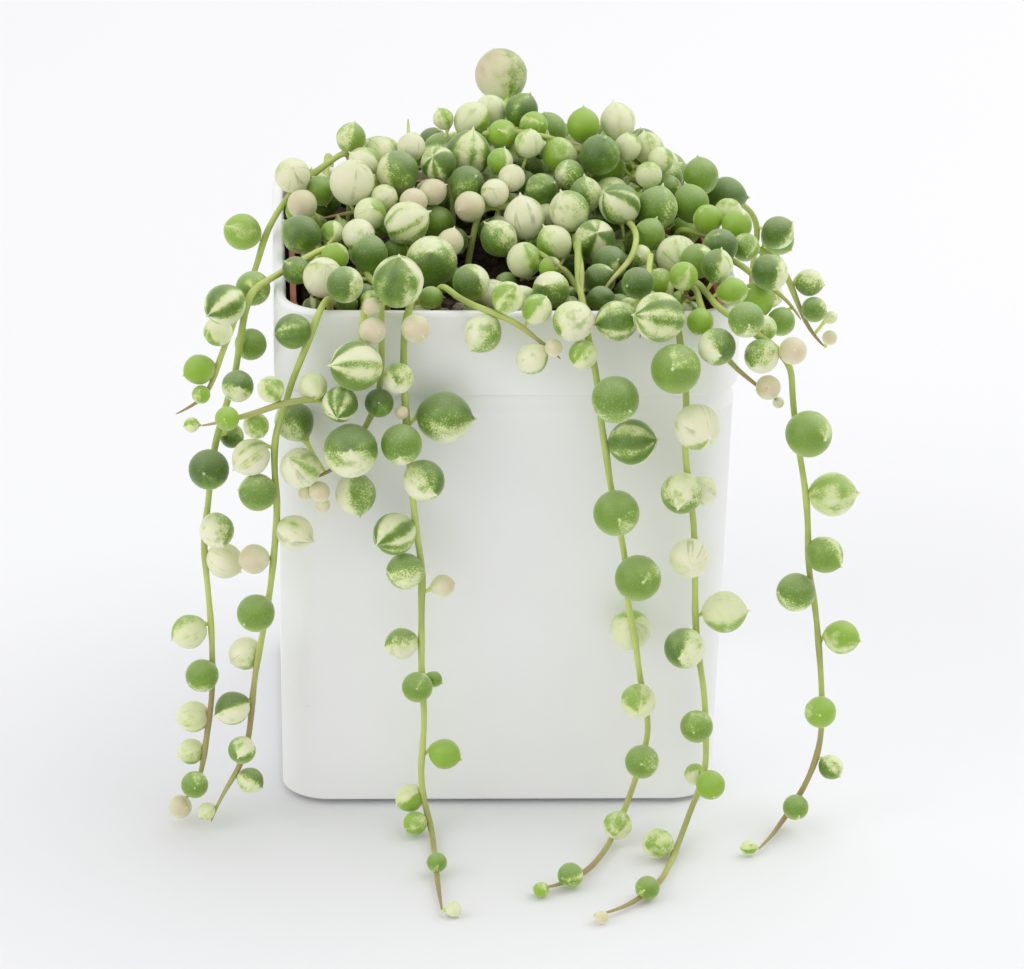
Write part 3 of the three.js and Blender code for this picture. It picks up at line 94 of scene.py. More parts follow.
# Trails: the stem's points as (across, up, depth), where one without a depth lies on the table,
# and the pearls as (across, up, diameter, lean, tone). A lean of 1 is before its stem and -1
# behind. A tone's second word is the side that its green faces, and its third one where the tip
# points.
TRAILS = {
    "trail_left_long": (
        [(-30, 104.5, -15), (-34.8, 102.5, -19), (-37.8, 100.6, -23), (-41, 98.5, -28),
         (-44, 96.4, -32), (-45.2, 91.5, -34), (-46, 86.4, -35), (-46.8, 81, -36), (-49.3, 72, -37),
         (-50.5, 66, -38), (-51.3, 57.5, -39), (-52, 51, -40), (-51.4, 43, -41), (-50.7, 34, -42),
         (-50.6, 23, -43), (-51.4, 15.6, -43), (-52.5, 7.5, -43), (-54, 3.6, -43),
         (-57, 0.5, -43.5)],
        [(-48.3, 94.2, 7, 0.4, "striped"), (-43.3, 97.1, 6, -1, "green"),
         (-44, 87, 5.5, -1, "green"), (-46.2, 79.5, 5.5, 1, "half up"),
         (-47.2, 70.4, 4.2, -1, "dark"), (-51.1, 64.3, 7, 1, "dark"),
         (-49.8, 53.1, 6, 1, "cream right"), (-48.5, 47.4, 6.2, 0.3, "white"),
         (-54.5, 34.1, 6, 0.3, "pale"), (-52.3, 25.8, 5.8, 0.5, "green"),
         (-53.8, 18, 5.6, -0.3, "pale"), (-54.3, 11.3, 4.6, -0.3, "pale"),
         (-53.7, 4.9, 4.8, 1, "green"), (-56.3, 0.6, 4.2, 0.5, "pink")]),
    "trail_left_short": (
        [(-27.6, 121, 10), (-30.7, 119.5, 9), (-33.4, 117.5, 7), (-35.6, 115.5, 6), (-37.8, 113, 5),
         (-39.3, 110.2, 3), (-41, 106.4, 0), (-42.8, 100.7, -2), (-46, 93, -5), (-49, 85, -8),
         (-51.2, 78.4, -10), (-53.8, 76, -11), (-57, 74.2, -12)],
        [(-27.1, 123.5, 5, 0, "green"), (-32.5, 114.4, 4.8, 1, "green"),
         (-37, 117, 6, 0.5, "white"), (-45, 106.9, 6.2, 0.3, "bright"),
         (-49.5, 89.3, 5, 0.5, "pale"), (-52.7, 82.5, 5.2, 0.3, "bright"),
         (-52.4, 77.9, 3.2, 0.3, "bright")]),
    "trail_left_inner": (
        [(-30.3, 95.2, -36), (-31.6, 94, -40), (-33.3, 90, -43), (-34.8, 85.7, -44),
         (-36.8, 80.6, -45), (-37.7, 77, -45.5), (-39.6, 70.3, -46), (-39.8, 64, -46),
         (-39.4, 57, -46), (-39.9, 49, -46), (-40.6, 42, -46), (-41.8, 34, -46), (-42.8, 28.3, -46),
         (-43.5, 22.6, -46), (-44.2, 14.5, -46), (-45.7, 8.6, -46), (-47.5, 5.2, -46.5),
         (-49.6, 1, -47), (-50.8, -2.7)],
        [(-36.7, 89.4, 6.1, 0.3, "dark"), (-42.6, 60.1, 6.5, 0.4, "speckled"),
         (-43.8, 67, 6.4, 0.5, "white"), (-36.4, 52.6, 6.2, 0.3, "white"),
         (-43.3, 47.7, 5.2, 0.2, "pink"), (-43, 37.6, 6.6, 1, "green"),
         (-44.8, 30, 5.8, -0.6, "white"), (-47, 19.6, 5.9, 0.3, "striped"),
         (-45.4, 11.6, 4.9, 1, "speckled"), (-44, 5.7, 4.6, 0.4, "half right"),
         (-51.5, -0.2, 3.1, 0.3, "pale")]),
    "trail_left_cluster": (
        [(-24, 96, -35), (-24.5, 94.4, -39), (-25, 90, -43), (-25.8, 83, -44), (-29, 77.5, -45),
         (-33.5, 77, -49), (-38.2, 76.4, -50), (-43.6, 74.4, -49), (-50.4, 72.6, -47),
         (-52.7, 72.2, -46)],
        [(-23.3, 89.8, 4.6, 1, "pink"), (-25.7, 83, 8.6, 1, "striped down left"),
         (-29.1, 76.1, 6.2, 1, "striped down"), (-33, 79.5, 5, -0.4, "pale"),
         (-40.5, 78.8, 4.6, -0.2, "pale"), (-43.3, 72, 4.5, -0.5, "pale"),
         (-48, 73.6, 4.2, 1, "bright"), (-54, 72.4, 2.6, 0, "pale")]),
    "trail_front_cluster": (
        [(-20.5, 96, -34), (-21, 94.4, -39), (-21.4, 88, -43), (-21.6, 82, -44.5), (-22.6, 76, -45),
         (-25, 71, -45), (-28, 66, -45), (-31.5, 63.4, -45.5), (-34, 62.4, -46)],
        [(-22, 76.3, 5, 0.6, "dark"), (-26.6, 68.8, 9.3, 1, "half up front"),
         (-26, 59.8, 7.1, 0.6, "cream up"), (-36.4, 72.6, 6.8, 0.6, "half right"),
         (-36, 64.7, 7, 0.4, "white"), (-32.3, 60.2, 3.6, 1, "pink"),
         (-31.6, 57.6, 2.6, 0.5, "pink"), (-34.6, 59.8, 2.6, 0.5, "pink")]),
    "trail_front_long": (
        [(-17.6, 97, -33), (-18, 94.5, -39), (-18.8, 90, -42.5), (-18.6, 85, -44.5),
         (-18.2, 80, -45.5), (-17.8, 76, -46), (-17.2, 70, -46), (-16.5, 62, -46), (-15.4, 52, -46),
         (-14.4, 46, -46.5), (-14.4, 40, -47), (-14.3, 32, -47.5), (-14.2, 26, -48),
         (-13.6, 18, -48.5), (-13.8, 12, -48.5), (-14, 6.5, -48.5), (-13.4, 1.5, -49),
         (-12.1, -4.3), (-11.5, -8.4), (-10.8, -14.4), (-9.9, -20.3)],
        [(-16.3, 90.4, 5, 1, "pink"), (-19.3, 81.1, 5.3, 1, "cream front"),
         (-18.6, 74.8, 2.3, 1, "pink"), (-11.2, 73.8, 9, 0.3, "half up"),
         (-18.8, 68.9, 7.1, 1, "speckled up"), (-14.4, 62.3, 7.2, 0.7, "half right"),
         (-19.2, 52.4, 7.4, 0.5, "striped down"), (-17.2, 45.4, 6.4, 0.3, "speckled"),
         (-10.9, 42.6, 4, 0.2, "pink"), (-17.7, 31.8, 5.6, 0.2, "cream up"),
         (-14.9, 23.7, 5.4, 1, "green"), (-12.2, 25, 2.8, 0.5, "green"),
         (-10, 10.7, 5.4, 0.2, "bright"), (-16, 2.2, 5, -0.3, "pale"),
         (-14.9, -2.7, 4.2, 0.5, "bright"), (-11, -10.4, 3.6, 0.8, "green"),
         (-7.9, -20.6, 2.8, 0, "pale")]),
    "trail_centre_short": (
        [(-12.8, 97.2, -30), (-10.4, 95.8, -36), (-7.6, 94.5, -40), (-3.8, 93, -43),
         (-0.4, 91.7, -44), (2.3, 90, -44.5), (4.7, 87.9, -45), (6.8, 86.4, -45), (8.8, 84.3, -45)],
        [(-4.7, 89.1, 6.4, 0.3, "cream right"), (-0.7, 95.5, 5.5, 0.2, "pale"),
         (4.6, 93, 5.2, 0.2, "pale"), (3.8, 84.6, 5.4, 0.4, "cream down"),
         (7.5, 86.6, 3, 1, "pink")]),
    "trail_right_front": (
        [(11.2, 106, -18), (11.2, 102.5, -24), (11.4, 98, -31), (12, 94.8, -38.5), (12.8, 90, -43),
         (13.5, 86.6, -44.5), (14.5, 83, -45.5), (15, 80.3, -46), (15.9, 72.6, -46.5),
         (16.8, 67.9, -47), (17.8, 61.3, -47), (20, 51.2, -47), (20.7, 47.6, -47.5),
         (21.6, 38.5, -48), (22.9, 32.4, -48.5), (24, 25, -49), (25.6, 17, -49.5),
         (25.4, 12.5, -49.5), (23.6, 5.2, -49), (22.3, 0.6, -49.3), (19.8, -6.4), (17.8, -9.9),
         (15.2, -12.7), (10.2, -15.3), (6.2, -15.8)],
        [(10.8, 90.1, 7, 1, "cream left"), (11.7, 86.6, 5, 0.3, "pale"),
         (18.1, 77.2, 8.2, 1, "speckled up"), (21.2, 69.3, 8, 0.2, "striped"),
         (18.9, 56.3, 8, 1, "green"), (23, 44.1, 8.1, 0.8, "green"), (22, 34.4, 7.2, -0.8, "pale"),
         (23.8, 20.8, 6.2, 0.8, "pale"), (24.8, 9.1, 6, 1, "green"), (20.9, -3.2, 5.2, 0.8, "pale"),
         (12.8, -13.2, 4.6, 0.6, "green"), (7.6, -17, 2.8, 0.6, "bright")]),
    "trail_front_corner": (
        [(23.4, 103.5, -22), (23.2, 101, -28), (23, 98.3, -34), (22.6, 95.2, -40),
         (22.3, 91.4, -43.5), (22, 88, -45)],
        [(25, 91.8, 8.6, 0.9, "striped up left"), (19.3, 91.5, 7, 0.7, "striped"),
         (21.4, 98.2, 5.5, 0.8, "dark"), (25.6, 98.2, 5.4, 0.3, "bright")]),
    "trail_right_corner": (
        [(28.8, 98, -30), (29.2, 94.5, -39), (29.5, 90, -43), (30, 84, -45.5), (30.5, 78, -46.5),
         (30.4, 70, -47), (30.6, 66, -47), (31.8, 58, -47), (32.4, 54, -47), (32.8, 48, -47),
         (33, 43.4, -47.5), (33.3, 36, -48), (34.4, 27.5, -48.5), (35.3, 22.5, -49),
         (35.8, 16, -49.5), (36.1, 8.3, -50), (35.2, 4, -50.5), (34.1, 0.8, -51),
         (32.8, -3.6, -52.2), (31.2, -8.7), (29.2, -13.8), (26.5, -16.6), (23.6, -18.9),
         (20.1, -20.4), (17.2, -21.3)],
        [(28.3, 83.2, 8.6, 1, "green"), (32.3, 72.2, 8, 0.7, "white"),
         (30.1, 60, 7.2, 0.6, "half down"), (33.6, 60.4, 5.4, -0.6, "white"),
         (31.9, 47.9, 7, 1, "white"), (38.2, 37.7, 7.4, 0.2, "pale"),
         (31.6, 30.9, 7.2, 0.8, "half left"), (34.2, 15.9, 5.8, 0.8, "green"),
         (36.9, 4.4, 5.2, 0.6, "bright"), (34.2, 6.4, 4, -0.5, "pale"),
         (28, -7.5, 5.6, 0.2, "pale"), (26.5, -16.2, 4.4, 0.7, "green"),
         (18.6, -21.4, 2.4, 0.4, "pink")]),
    "trail_right_long": (
        [(28.8, 98.8, -26), (31.3, 95.6, -34), (33.7, 93.6, -41), (36.6, 92, -44.5),
         (41.6, 89, -45), (45.6, 86.2, -45), (47.8, 83.3, -45), (48.3, 79, -45), (48.8, 75, -45),
         (50, 68, -45), (51.5, 60.2, -45), (52.2, 53.6, -45), (52.7, 45.8, -45), (54, 39.2, -45),
         (54.9, 32.5, -45.5), (55.9, 23.2, -46), (56.2, 15.1, -46.5), (55.6, 10.1, -47),
         (54.1, 5.1, -47.5), (52.5, 1.6, -48), (50.5, -2.4), (48.4, -5.6), (45.9, -8.4)],
        [(39.7, 91.4, 6.2, 1, "speckled"), (43.7, 89.3, 4.6, -0.4, "pale"),
         (42.5, 85.4, 6, 0.4, "cream"), (47.6, 86, 4.8, 0.8, "pink"),
         (51.5, 70.9, 8.1, 0.8, "green"), (56.1, 59.7, 7.8, 0.2, "pale"),
         (55.3, 48.5, 6.4, 0.3, "green"), (50.7, 41.4, 6.8, 0.5, "speckled up"),
         (58.9, 32.9, 6, 0.2, "bright"), (55.9, 18.6, 5.6, 0.8, "bright"),
         (58.2, 8, 4.4, 0.2, "half left"), (52.3, 0.2, 4.6, 0.8, "green"),
         (44.3, -8.4, 2.8, 0, "pale")]),
    "trail_right_upper": (
        [(27.8, 108, -4), (30.5, 107.4, -5), (33.2, 106.7, -6), (36.5, 105.5, -7.5),
         (40, 104.7, -8.5), (43.5, 103.6, -9), (45.6, 101.5, -9.5), (47.3, 98, -10),
         (48.7, 94.6, -10.5), (50.3, 91, -11), (52.1, 88.3, -11.5), (53.8, 86.6, -12)],
        [(34, 109.5, 5, 0, "bright"), (37, 109, 5.2, -0.4, "bright"), (39.3, 105, 4.9, 1, "green"),
         (44.7, 107.2, 5.6, -0.2, "half left"), (50.4, 98.4, 4.7, -0.2, "half down"),
         (51.5, 93.5, 4.4, 0.6, "speckled"), (54.4, 92.1, 2.2, 0, "pale"),
         (54.4, 88.4, 2.6, 0.5, "pink")]),
    "trail_right_middle": (
        [(31, 101.5, -12), (34, 101.8, -15), (36.8, 101.6, -17.6), (40, 99.5, -20),
         (44.4, 96.6, -21), (46.4, 95.2, -22), (48.4, 93.2, -22), (49.8, 91, -22)],
        [(35, 102.4, 6, 0.5, "dark"), (37.3, 96.2, 6, 1, "bright"),
         (43, 99.4, 6.3, 0.8, "half left"), (45.2, 92.3, 4.9, 0.5, "green")]),
    "trail_right_lower": (
        [(30, 97, -31), (31.3, 94.5, -39.6), (33.4, 89.6, -43.5), (35.5, 86.3, -44.5),
         (37.8, 83.3, -45), (40, 81.6, -45), (42.5, 79.5, -45), (44.5, 78, -45), (46, 76.9, -45)],
        [(31.3, 90.4, 4.6, 0.4, "bright"), (35.3, 87, 6.5, 1, "half right"),
         (44.3, 79.4, 4.3, 0.6, "pink"), (46.6, 76.6, 2, 0, "pink")]),
}

# The crown's pearls on the mound, as (across, up, diameter, tone), and a depth of its own for one
# that hangs before it
CROWN = {
    "crown_left_corner": [
        (-36.3, 98.2, 4.8, "dark"), (-32.5, 98.2, 6.9, "white"), (-34.2, 106.3, 6.6, "dark"),
        (-30, 102.5, 4.8, "bright"), (-27, 96.7, 6.3, "half left", -40), (-30.5, 107.5, 4, "pale")],
    "crown_front_left": [
        (-19.2, 96, 8.7, "striped left up", -42.5), (-23.7, 93.2, 3.2, "pink", -43),
        (-24.4, 102.7, 6.2, "half front"), (-26.3, 106.4, 5.6, "cream down"),
        (-13.9, 95.2, 4, "green")],
    "crown_middle_left": [
        (-13.6, 101.8, 8.8, "half down front"), (-18, 108.8, 7.4, "striped down right"),
        (-6.9, 98.2, 6.4, "half front"), (-10.4, 106, 4.6, "pink")],
    "crown_pale_left": [
        (-26.2, 116.2, 7.6, "white"), (-23.4, 111, 5.5, "pale"), (-22, 114.3, 4.5, "white"),
        (-35.4, 112, 5, "pink")],
    "crown_back_left": [
        (-18.2, 117.5, 7.1, "half right"), (-16, 112.8, 4.8, "pink"), (-13.5, 113.9, 4.6, "pink"),
        (-22.5, 121.5, 5.8, "white"), (-17.5, 122, 4.8, "white"), (-25, 119.5, 5, "white")],
    "crown_top_left": [
        (-8.3, 121.5, 7.8, "striped left up"), (-13.3, 119.2, 6, "striped"),
        (-9.8, 114.6, 6, "dark"), (-7.6, 126.6, 6, "pale"), (-11.8, 127, 3.5, "pale")],
    "crown_summit": [
        (-2.5, 134.6, 8.8, "rosy near_right"), (0.8, 128.3, 5.6, "dark"),
        (3.1, 126.6, 4.8, "bright"), (-3.8, 128.6, 5.5, "pale"), (-2.1, 124.1, 5, "bright")],
    "crown_centre": [
        (-8.2, 112.7, 5.2, "pink"), (-4.4, 114, 4.8, "white"), (-2.7, 120, 4.4, "pale"),
        (-0.6, 116.8, 4.6, "white"), (2.6, 122.7, 4.8, "pale"), (4.9, 115, 5.5, "dark")],
    "crown_front_centre": [
        (-2.1, 105.7, 6.2, "half down"), (2.2, 101.9, 6, "pale"), (1.9, 110.1, 7, "white"),
        (6.4, 100.9, 4, "bright")],
    "crown_front_right": [
        (7.4, 105, 6, "pale"), (7.8, 96.8, 6.4, "half down"), (14.2, 95.5, 4.5, "dark"),
        (13.5, 99.6, 5.5, "dark")],
    "crown_middle_right": [
        (9.9, 110.5, 6.8, "cream right"), (13.5, 106.1, 7, "striped down front"),
        (12, 114.7, 5.6, "half left"), (16.3, 101.6, 6, "dark")],
    "crown_top_right": [
        (7.3, 120.7, 6, "bright"), (11.4, 126, 5.6, "bright"), (14.9, 120.8, 6.8, "dark"),
        (9.5, 117, 5, "speckled")],
    "crown_back_right": [
        (17.2, 126.7, 6, "white"), (22.6, 122.2, 5.4, "white"), (24.8, 120.6, 4.4, "pale"),
        (22.6, 117.4, 4.6, "pale"), (19, 122, 4.6, "pale")],
    "crown_star": [
        (18.2, 112.6, 7, "striped"), (23.9, 111.6, 7.1, "speckled up"), (23, 106.6, 5.4, "green"),
        (21.7, 103.2, 3.6, "pale")],
    "crown_right": [
        (30.5, 111.3, 6.3, "green"), (31.4, 117.3, 6, "green"), (36, 110.6, 5, "pale")],
    "crown_right_corner": [
        (27.6, 103.4, 7.2, "white front"), (31.6, 102.5, 6, "green"), (30.5, 97, 5, "bright", -39)],
}

# The back, which the readings can't reach: trails as (across the rim, side, length), and places
# behind the crown
HIDDEN_TRAILS = {
    "trail_back_1": (-30, "back", 64),
    "trail_back_2": (-17, "back", 110),
    "trail_back_3": (-3, "back", 52),
    "trail_back_4": (11, "back", 94),
    "trail_back_5": (26, "back", 106),
    "trail_right_rear": (18, "right", 34),
}
HIDDEN_CROWN = [(-27, 20), (-14, 27), (0, 22), (13, 28), (27, 22), (30, 6)]
HIDDEN_SEED = 4021
REAR_PEARLS = 5
REAR_SPREAD = (22, 14)
REAR_AHEAD = 0.3
REAR_SINK = 5
REAR_RADIUS = (2.3, 1.5)
# The top line of the read crown as (across, up), which the drawn pearls behind it stay under
CREST = [(-44, 100), (-39, 116), (-31, 117), (-26, 121), (-14, 123.5), (0, 129), (12, 127),
         (20, 125), (27, 121), (36, 113), (44, 103)]
HANG = 6
HANG_SPREAD = 1.5
RUN = 10
SWAY = 3
RIM_RISE = 2.2
TRAIL_ROOT = 27
TRAIL_FIRST = 10
TRAIL_SPACING = 16
TRAIL_CROWDING = 0.35
TRAIL_RADIUS = (1.5, 2.6)
TRAIL_DROP = 0.3
TRAIL_UNEVEN = 0.2
TRAIL_TURN = 5
TRAIL_SIDES = 8
TRAIL_SWING = 0.9

# The mound that the crown lies on
MOUND_FRONT = 95
MOUND_RISE = 15
MOUND_START = -22
MOUND_END = 20
MOUND_HALF = 46
MOUND_FIRST = -36
MOUND_LAST = 32
MOUND_STEP = 0.5
CROWN_DROP = 9

# Settling the strands
GUIDED_ROUNDS = 120
FREE_ROUNDS = 60
PAIR_ROUNDS = 10
NEAR = 3
CELL = 12
SIGHT_PULL = 0.3
HOME_PULL = 0.03
BEND_PULL = 0.15
LINK_PULL = 0.8
TINY = 1e-9
CURVE_PARTS = 8

# The seeded draw, and the steps to the cells around one
DRAW_FACTOR = 16807
DRAW_LIMIT = 2147483647
AROUND = [(i, j, k) for i in (-1, 0, 1) for j in (-1, 0, 1) for k in (-1, 0, 1)]

# What the render adds to the solids: pearls between the crown's read ones and along the hidden
# trails, and stems that cross the crown, as (across, up, depth before the mound)
FILL_SEED = 911
FILL_TRIES = 6000
FILL_HALF = 37
FILL_LOW = 2.2
FILL_DEEP = 3.5
FILL_SHALLOW = 0.5
FILL_BEHIND = 12
FILL_UNDER = 3.5
FILL_RADIUS = (1.8, 1.5)
FILL_REACH = 5
FILL_CLEAR = 0.35
SIGHT_SHARE = 0.35

# Pearls over the right corner, on stalks to the stems there: across, up, width, depth and tone
CORNER_PEARLS = [(34.7, 101.3, 5.6, -33, "half left"), (37.4, 96.7, 5, -36.5, "bright")]

# Gaps in the crown through which the soil or the nursery pot shows, as (across, up, radius)
GAPS = [(34, 97.5, 4), (-5, 101.8, 4.5), (-9.5, 94.5, 3.5), (3.4, 97, 3), (-37.5, 103, 4),
        (-29.5, 111, 3.5), (26.5, 117.5, 4), (-36.5, 97, 3)]

EXTRA_EVERY = 2
EXTRA_RADIUS = (1.9, 1.5)
EXTRA_TURNS = 9
EXTRA_SINK = 0.2
EXTRA_ROOM = 1.2
CROSSING_STEMS = {
    "crown_star": [(17.6, 110.5, -6), (19.6, 109, 0), (20.9, 106.5, 4), (19.9, 102.4, 5),
                   (16.4, 98.2, 2), (14.9, 95.2, -4)],
    "crown_middle_right": [(10.4, 107, -4), (10.8, 104.5, 1), (11.7, 101, 4), (11.9, 95, 2),
                           (12, 93.6, 0)],
    "crown_top_left": [(-5.8, 124.5, 1), (-1, 125, 2), (5, 124.2, 2), (11.2, 122.5, 1)],
    "crown_front_centre": [(1.4, 104.6, 1), (5.2, 103.2, 4), (9.8, 99.8, 2)],
    "crown_back_left": [(-17.9, 121.5, 1), (-17.8, 124.5, 2), (-17.9, 127.2, 2)],
}

# A pearl of radius 1 from stalk to tip, as (share of radius, height). Below -1 is the stalk,
# which runs to the stem at -2 and has its own thickness.
PEARL_SIDES = 6
PEARL_OUTLINE = [(0, -2), (0.95, -1.98), (0.8, -1.5), (1, -1.08), (0.5, -0.99), (0.97, -0.62),
                 (1.3, 0), (1.02, 0.66), (0.42, 1.04), (0.1, 1.1), (0.05, 1.24), (0, 1.34)]
STALK_RADIUS = 0.42
TIP_FORWARD = 0.2
TIP_DROOP = 0.45
TIP_SWAY = 0.3
TIP_KEPT = 0.45
FACING_LEAST = 0.15
STEM_SIDES = 4
STEM_DRAWN = 0.81
STEM_TAPER = 0.22
NODE_SWELL = 1.25
TIP_SHARES = (0.3, 0.5, 0.7, 0.85)

# The sides that a pearl's green can face
SIDES = {"up": (0, 0, 1), "down": (0, 0, -1), "left": (-1, 0, 0), "right": (1, 0, 0),
         "front": (0, -0.93, 0.37), "near_right": (0.45, -0.8, -0.4)}

# Tones as shares of cream, depth of green, yellow, stripes, speckles and blush
TONES = {
    # The dark tone is partly the pearls' own deep green and partly painted shade, given to pearls
    # that lie in shade
    "dark": (0.08, 0.95, 0.05, 0.1, 0.5, 0),
    "green": (0.18, 0.5, 0.2, 0.2, 0.6, 0),
    "bright": (0.15, 0.2, 0.85, 0.1, 0.25, 0),
    "pale": (0.7, 0.15, 0.5, 0.3, 0.4, 0.05),
    "half": (0.41, 0.88, 0.1, 0.15, 0.8, 0.05),
    "cream": (0.7, 0.75, 0.15, 0.25, 0.8, 0.1),
    "white": (0.9, 0.3, 0.1, 0.4, 0.3, 0.15),
    "striped": (0.44, 0.95, 0.1, 1, 0.5, 0.1),
    "speckled": (0.3, 0.6, 0.15, 0.25, 1, 0),
    "rosy": (0.78, 0.8, 0.2, 0.1, 0.5, 1),
    "pink": (1, 0.3, 0.2, 0.1, 0.2, 0.65),
}
DRAWN_TONES = ("green", "dark", "half", "speckled", "striped", "green", "pale", "cream",
               "bright", "dark")

# The cover pot's section from the underside to the floor inside, as (half width, height)
STEP = POT_HEIGHT - BAND_HEIGHT - 0.3
INSIDE = RIM_HALF - WALL
POT_SECTION = [
    (31, 0.9), (32, 0), (BASE_HALF - 4, 0), (BASE_HALF - 4, 0.9), (BASE_HALF - 0.3, 0.9),
    (BASE_HALF, 1.2),
    (NECK_HALF - 0.1, STEP - 4), (NECK_HALF + 0.12, STEP - 3.6), (NECK_HALF, STEP - 2.9),
    (NECK_HALF - 0.35, STEP - 1.6), (NECK_HALF - 0.5, STEP - 0.4), (NECK_HALF - 0.45, STEP - 0.1),
    (RIM_HALF - 0.2, STEP), (RIM_HALF, STEP + 0.3), (RIM_HALF, POT_HEIGHT - 0.6),
    (RIM_HALF - 0.5, POT_HEIGHT), (INSIDE + 0.4, POT_HEIGHT), (INSIDE, POT_HEIGHT - 0.5),
    (INSIDE - 1.3, FLOOR + 2), (INSIDE - 3.3, FLOOR),
]
POT_BEVEL = 0.2
CORNER_SEGMENTS = 10

# The soil's grid, how far it rises and falls, and the sizes of the grit on it
SOIL_CELLS = 64
SOIL_WAVES = ((70, 0.9), (220, 0.6), (700, 0.35))
GRIT_SIZE = (0.45, 1.3)
GRIT_LARGE = 2.6
GRIT_SEED = 77
BARK_SHARE = 0.7
DUST = (0.6, 0.5, 0.42)
BISECTIONS = 24

# The camera: yaw, how far it looks down, roll, focal length in pixels, the point that it looks at
# and how far off it stands
CAMERA_YAW = -3.41
CAMERA_DOWN = 21.67
CAMERA_ROLL = 1.29
CAMERA_FOCUS = 4992
CAMERA_AIM = (3.2, 0, 45.6)
CAMERA_FAR = 900
IMAGE_WIDTH = 1024
SENSOR_WIDTH = 36
FLOOR_HALF = 4000
KEY_PLACE = (0.6, 0.35, 1.1)
FILL_PLACE = (-1.5, -0.9, 0.9)
LIGHT_AIM = (0, 0, 0.06)


def drawer(seed):
    """A seeded draw from 0 to 1."""
    def draws():
        state = seed
        while True:
            state = state * DRAW_FACTOR % DRAW_LIMIT
            yield state / DRAW_LIMIT

    return draws().__next__


def clamp(value, low, high):
    return min(high, max(low, value))


def distance(a, b):
    return math.sqrt((a[0] - b[0]) ** 2 + (a[1] - b[1]) ** 2 + (a[2] - b[2]) ** 2)


def between(a, b, t):
    return tuple(p + (q - p) * t for p, q in zip(a, b))


def scale_at(depth):
    """How much larger things are at a depth than their reading on the front plane."""
    return (depth - VIEW[1]) / (FRONT - VIEW[1])


def slide(across, up, depth):
    """The point at the given depth on the line of sight through a reading."""
    k = scale_at(depth)
    return (VIEW[0] + (across - VIEW[0]) * k, depth, VIEW[2] + (up - VIEW[2]) * k)


def lay(across, up, height):
    """The point where the line of sight through a reading comes down to a height."""
    k = (VIEW[2] - height) / (VIEW[2] - up)
    return slide(across, up, VIEW[1] + (FRONT - VIEW[1]) * k)


def sighted(at):
    """A point's reading on the front plane, and the scale there."""
    k = scale_at(at[1])
    return VIEW[0] + (at[0] - VIEW[0]) / k, VIEW[2] + (at[2] - VIEW[2]) / k, k


def mound_height(x, y):
    """The mound rises to the back, and falls off at both sides and behind."""
    t = clamp((y - MOUND_START) / (MOUND_END - MOUND_START), 0, 1)
    side = clamp(abs(x) / MOUND_HALF, 0, 1)
    rear = clamp((y - MOUND_END) / MOUND_HALF, 0, 1) * 2
    return MOUND_FRONT + MOUND_RISE * t * t * (3 - 2 * t) * (1 - side**4) * (1 - rear * rear)


def mound_depth(across, up):
    """The depth at which a line of sight meets the mound."""
    y = MOUND_FIRST
    while y < MOUND_LAST:
        p = slide(across, up, y)
        if p[2] < mound_height(p[0], y):
            return y
        y += MOUND_STEP
    return MOUND_LAST


def from_square(x, y, half=RIM_HALF, corner=CORNER):
    """How far a point lies outside a rounded square, and the direction away from it."""
    qx, qy = abs(x) - (half - corner), abs(y) - (half - corner)
    sx, sy = -1 if x < 0 else 1, -1 if y < 0 else 1
    if qx > 0 and qy > 0:
        length = math.sqrt(qx * qx + qy * qy)
        return length - corner, sx * qx / length, sy * qy / length
    return (qx - corner, sx, 0) if qx > qy else (qy - corner, 0, sy)


def even_points(points):
    """Points along a smooth curve through the given ones, about a stem step apart."""
    last = len(points) - 1
    fine = []
    for i in range(last):
        near = (points[max(i - 1, 0)], points[i], points[i + 1], points[min(i + 2, last)])
        for s in range(CURVE_PARTS):
            t = s / CURVE_PARTS
            fine.append(tuple(
                q + 0.5 * t * (r - p + t * (2 * p - 5 * q + 4 * r - e
                                            + t * (3 * (q - r) + e - p)))
                for p, q, r, e in zip(*near)))
    fine.append(tuple(points[last]))
    along = [0]
    for a, b in zip(fine, fine[1:]):
        along.append(along[-1] + distance(a, b))
    count = max(2, math.floor(along[-1] / STEM_STEP + 0.5))
    even = []
    j = 0
    for i in range(count + 1):
        at = along[-1] * i / count
        while j < len(fine) - 2 and along[j + 1] < at:
            j += 1
        even.append(between(fine[j], fine[j + 1], (at - along[j]) / (along[j + 1] - along[j])))
    return even


class Pearl:
    """A pearl leaf: its centre, radius, the stem point of its stalk, and its tone."""

    def __init__(self, at, radius, joint=-1, reach=0, tone=""):
        self.at, self.radius, self.joint, self.reach, self.tone = at, radius, joint, reach, tone


class Strand:
    """A stem as a list of points, with its pearls. A read one keeps to its lines of sight."""

    def __init__(self, name, stem, pearls, read):
        self.name, self.stem, self.pearls, self.read = name, stem, pearls, read


def nearest(stem, measure):
    """The stem's point that comes nearest by a measure, above the soil."""
    return min(range(2, len(stem)), key=lambda i: measure(stem[i]))


def rooted(root, points):
    collar = (root[0], root[1], SOIL_TOP + COLLAR)
    return [(root[0], root[1], SOIL_TOP - ROOT_DEPTH)] + even_points([collar] + points)


def read_trail(root, name, route, readings):
    stem = rooted(root, [slide(*p) if len(p) > 2 else lay(*p, STEM) for p in route])
    pearls = []
    for across, up, size, lean, tone in readings:
        joint = nearest(stem, lambda p: distance(slide(across, up, p[1]), p))
        at = stem[joint]
        off = distance(slide(across, up, at[1]), at)
        radius = size / 2 * scale_at(at[1])
        reach = max(radius + STEM + STALK, off)
        forward = math.sqrt(max(0, reach * reach - off * off)) * lean
        centre = slide(across, up, at[1] - forward)
        pearls.append(Pearl(centre, radius, joint, min(distance(centre, at), reach), tone))
    return Strand(name, stem, pearls, True)


